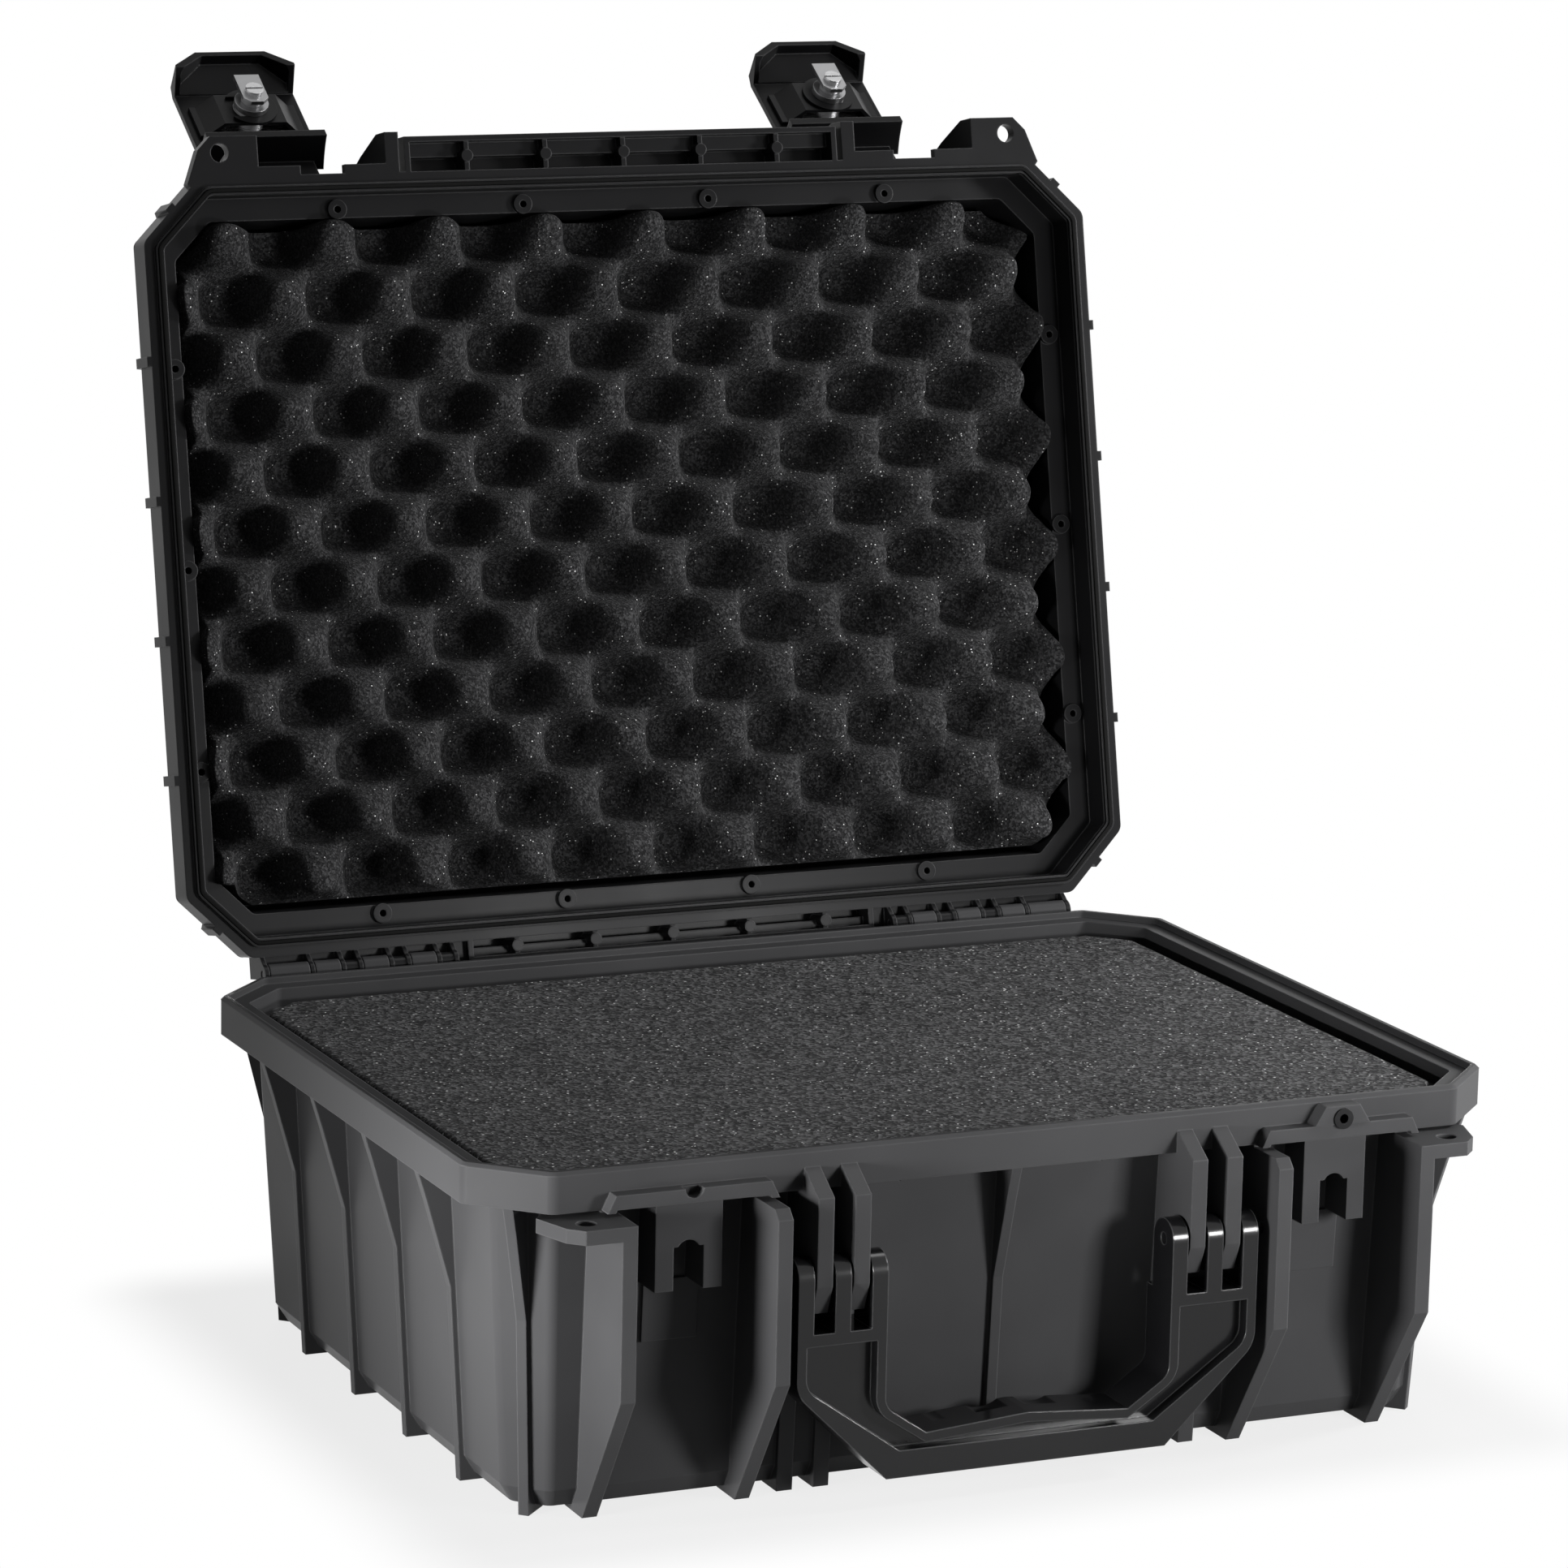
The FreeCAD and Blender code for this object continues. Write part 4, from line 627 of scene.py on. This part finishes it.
@dataclass
class SubAssembly:
    """Pieces of the case that belong together."""

    def finishes(self) -> dict[str, Finish]:
        """Finish of each frame node of the sub-assembly."""
        return {}

    def dress(self, nodes: dict[str, bpy.types.Object]) -> None:
        """Give the sub-assembly's frame nodes their finishes.

        Args:
            nodes: The frame's objects by node name.
        """
        for node, finish in self.finishes().items():
            mesh = nodes[node].data
            mesh.materials.clear()
            mesh.materials.append(finish.material())
            LOG.info("dressed %s as %s", node, finish.name)

    def build(self) -> None:
        """Model the pieces that stand for plain frame nodes."""


@dataclass
class BaseBody(SubAssembly):
    """Base of the case: shell, vent, hinge and handle pins, and three layers of foam."""

    rim: RimOutline = RimOutline()
    wall_draft: float = 9.0
    wall_height: float = 147.0
    foam_clear: float = 0.2
    foam_cell: float = 3.0
    foam_edge: float = 1.6
    layers: tuple[str, ...] = ("pad", "lower", "upper")

    def finishes(self) -> dict[str, Finish]:
        """Finish of each frame node of the base.

        Returns:
            Finishes by node name.
        """
        pins = {f"{joint}_pin_{side.value}": COATED_STEEL
                for joint in ("hinge", "handle") for side in Side}
        return {"base_shell": SHELL_PLASTIC, "vent_sleeve": COATED_STEEL,
                "vent_membrane": VENT_CLOTH, **pins}

    def build(self) -> None:
        """Build the three layers of foam."""
        for layer in self.layers:
            node = f"base_foam_{layer}"
            low, high = (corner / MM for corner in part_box(node))
            half_length = high.x - self.foam_clear
            foam = SawnFoam(half_length=half_length, half_width=high.y - self.foam_clear,
                            corner_cut=self.rim.cut_at(half_length),
                            top=high.z - self.foam_clear, back=low.z,
                            draw_in=self.wall_draft / self.wall_height * (high.z - low.z),
                            cell=self.foam_cell, edge_radius=self.foam_edge)
            foam.build(f"sawn_foam_{layer}", node, BASE_FOAM, Body.BASE, Matrix.Identity(4))


@dataclass
class Lid(SubAssembly):
    """Lid of the case: shell, seal, latch pins and the egg-crate pad."""

    turn: Matrix
    rim: RimOutline = RimOutline()
    foam_clear: float = 0.2
    foam_cell: float = 2.0
    foam_edge: float = 0.8
    foam_tip: float = 154.9
    foam_back: float = 195.5

    def finishes(self) -> dict[str, Finish]:
        """Finish of each frame node of the lid.

        Returns:
            Finishes by node name.
        """
        pins = {f"latch_pin_{side.value}": COATED_STEEL for side in Side}
        # The lid shell takes the darker copy of the base plastic, which is painted shade
        return {"lid_shell": SHADED_LID_PLASTIC, "lid_gasket": SEAL_RUBBER, **pins}

    def build(self) -> None:
        """Build the egg-crate pad shut and turn it with the lid."""
        half_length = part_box("lid_foam")[1].x / MM - self.foam_clear
        foam = EggCrateFoam(half_length=half_length, half_width=self.rim.width_at(half_length),
                            corner_cut=self.rim.cut_at(half_length), top=self.foam_tip,
                            back=self.foam_back, draw_in=0.0, cell=self.foam_cell,
                            edge_radius=self.foam_edge)
        foam.build("egg_crate_foam", "lid_foam", LID_FOAM, Body.LID, self.turn)


@dataclass
class Handle(SubAssembly):
    """Swing handle on the front of the base."""

    def finishes(self) -> dict[str, Finish]:
        """Finish of the handle."""
        return {"handle": HANDLE_PLASTIC}


@dataclass
class Latch(SubAssembly):
    """One latch with its key lock."""

    side: Side

    def finishes(self) -> dict[str, Finish]:
        """Finish of each frame node of the latch.

        Returns:
            Finishes by node name.
        """
        pieces = {"latch_cover": LATCH_PLASTIC, "lock_housing": CAST_ZINC,
                  "lock_washer": PLATED_STEEL, "lock_bracket": COATED_STEEL,
                  "lock_clip": COATED_STEEL, "lock_plug": CAST_ZINC, "lock_cam": CAST_ZINC,
                  "cam_screw": PLATED_STEEL}
        return {f"{piece}_{self.side.value}": finish for piece, finish in pieces.items()}


def lid_turn(joints: list[dict[str, Any]]) -> Matrix:
    """Turn of the lid from shut to the frame's rest pose.

    Args:
        joints: The frame's joints.

    Returns:
        Matrix about the hinge, in metres.
    """
    hinge = next(joint for joint in joints if joint["name"] == "lid_hinge")
    pivot = Vector(hinge["pos_m"])
    opened = -math.radians(hinge["range_deg"][1])
    turn = Matrix.Rotation(opened, 4, Vector(hinge["axis"]))
    return Matrix.Translation(pivot) @ turn @ Matrix.Translation(-pivot)


@dataclass(frozen=True)
class Lamp:
    """Soft rectangular studio lamp, in metres and watts, with its beam's angle in degrees."""

    name: str
    place: tuple[float, float, float]
    aim: tuple[float, float, float]
    width: float
    height: float
    power: float
    spread: float = 180.0

    def build(self) -> None:
        """Hang the lamp and point it."""
        light = bpy.data.lights.new(self.name, "AREA")
        light.shape = "RECTANGLE"
        light.size = self.width
        light.size_y = self.height
        light.energy = self.power
        light.spread = math.radians(self.spread)
        lamp = bpy.data.objects.new(self.name, light)
        lamp.location = self.place
        aim = Vector(self.aim) - lamp.location
        lamp.rotation_euler = aim.to_track_quat("-Z", "Y").to_euler()
        bpy.context.scene.collection.objects.link(lamp)


LAMPS = (
    # High up, for the base foam and the tops of the edges
    Lamp("top_softbox", place=(0.7, 0.1, 1.9), aim=(0.0, 0.0, 0.2), width=0.7, height=0.7, power=8.0),
    # Low, with a narrow beam on the front end of the left wall
    Lamp("left_softbox", place=(-0.74, -0.3, 0.13), aim=(-0.2, -0.15, 0.1), width=0.2, height=0.16,
         power=0.8, spread=45.0),
    # Small and close to the front, so that the ribs and fins throw clear shadows
    Lamp("front_softbox", place=(0.34, -0.68, 0.22), aim=(0.0, -0.1, 0.12), width=0.14, height=0.14,
         power=4.6),
    # Beside the open lid, where it grazes the bumps of the lid foam
    Lamp("right_softbox", place=(0.95, -0.34, 0.6), aim=(0.0, 0.2, 0.35), width=0.2, height=0.2,
         power=12.0),
    # Behind the case, out of sight, for views from the back
    Lamp("back_softbox", place=(0.6, 1.7, 0.3), aim=(0.0, 0.2, 0.2), width=0.6, height=0.6, power=12.0),
)


@dataclass
class Studio:
    """Pale floor, soft lamps, white surroundings and the camera of the photograph."""

    azimuth: float = -24.373
    elevation: float = 11.799
    roll: float = 1.219
    target: tuple[float, float, float] = (-0.029721, 0.0, 0.260381)
    distance: float = 2.630995
    focal_pixels: float = 7602.744
    sensor: float = 36.0
    far_clip: float = 50.0
    floor_size: float = 6.0
    ambient: float = 0.01

    def build(self) -> None:
        """Set up everything around the case."""
        self.build_camera()
        self.build_floor()
        self.build_world()
        for lamp in LAMPS:
            lamp.build()

    def build_camera(self) -> None:
        """Place the camera by its turn round the case, its height and its roll."""
        azimuth = math.radians(self.azimuth)
        elevation = math.radians(self.elevation)
        back = Vector((math.sin(azimuth) * math.cos(elevation),
                       -math.cos(azimuth) * math.cos(elevation), math.sin(elevation)))
        across = Vector((0.0, 0.0, 1.0)).cross(back).normalized()
        up = back.cross(across)
        level = Matrix((across, up, back)).transposed().to_4x4()
        data = bpy.data.cameras.new("photo_camera")
        data.sensor_width = self.sensor
        data.lens = self.focal_pixels / PHOTO_PIXELS * self.sensor
        data.clip_end = self.far_clip
        camera = bpy.data.objects.new("photo_camera", data)
        place = Matrix.Translation(Vector(self.target) + back * self.distance)
        camera.matrix_world = place @ level @ Matrix.Rotation(math.radians(self.roll), 4, "Z")
        bpy.context.scene.collection.objects.link(camera)
        bpy.context.scene.camera = camera

    def build_floor(self) -> None:
        """Lay a wide matt white board under the case."""
        shape = bmesh.new()
        bmesh.ops.create_grid(shape, x_segments=2, y_segments=2, size=self.floor_size)
        mesh = bpy.data.meshes.new("floor_board")
        shape.to_mesh(mesh)
        shape.free()
        mesh.materials.append(FLOOR_BOARD.material())
        floor = bpy.data.objects.new("floor_board", mesh)
        bpy.context.scene.collection.objects.link(floor)

    def build_world(self) -> None:
        """Light the room evenly and show white behind the case."""
        world = bpy.data.worlds.new("white_room")
        bpy.context.scene.world = world
        world.use_nodes = True
        tree = world.node_tree
        tree.nodes.clear()
        strength = add_node(tree, "ShaderNodeMapRange",
                            {"Value": seen_directly(tree), "To Min": self.ambient, "To Max": 1.0})
        room = add_node(tree, "ShaderNodeBackground",
                        {"Color": linear(WHITE), "Strength": strength.outputs["Result"]})
        add_node(tree, "ShaderNodeOutputWorld", {"Surface": room.outputs["Background"]})


def main() -> None:
    """Build the whole scene in order."""
    logging.basicConfig(level=logging.INFO, format="%(name)s: %(message)s")
    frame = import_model()
    bpy.context.scene.view_settings.view_transform = "Standard"
    latches = [Latch(side) for side in Side]
    for part in (BaseBody(), Lid(lid_turn(frame["joints"])), Handle(), *latches):
        part.dress(frame["nodes"])
        part.build()
    Studio().build()


if __name__ == "__main__":
    main()
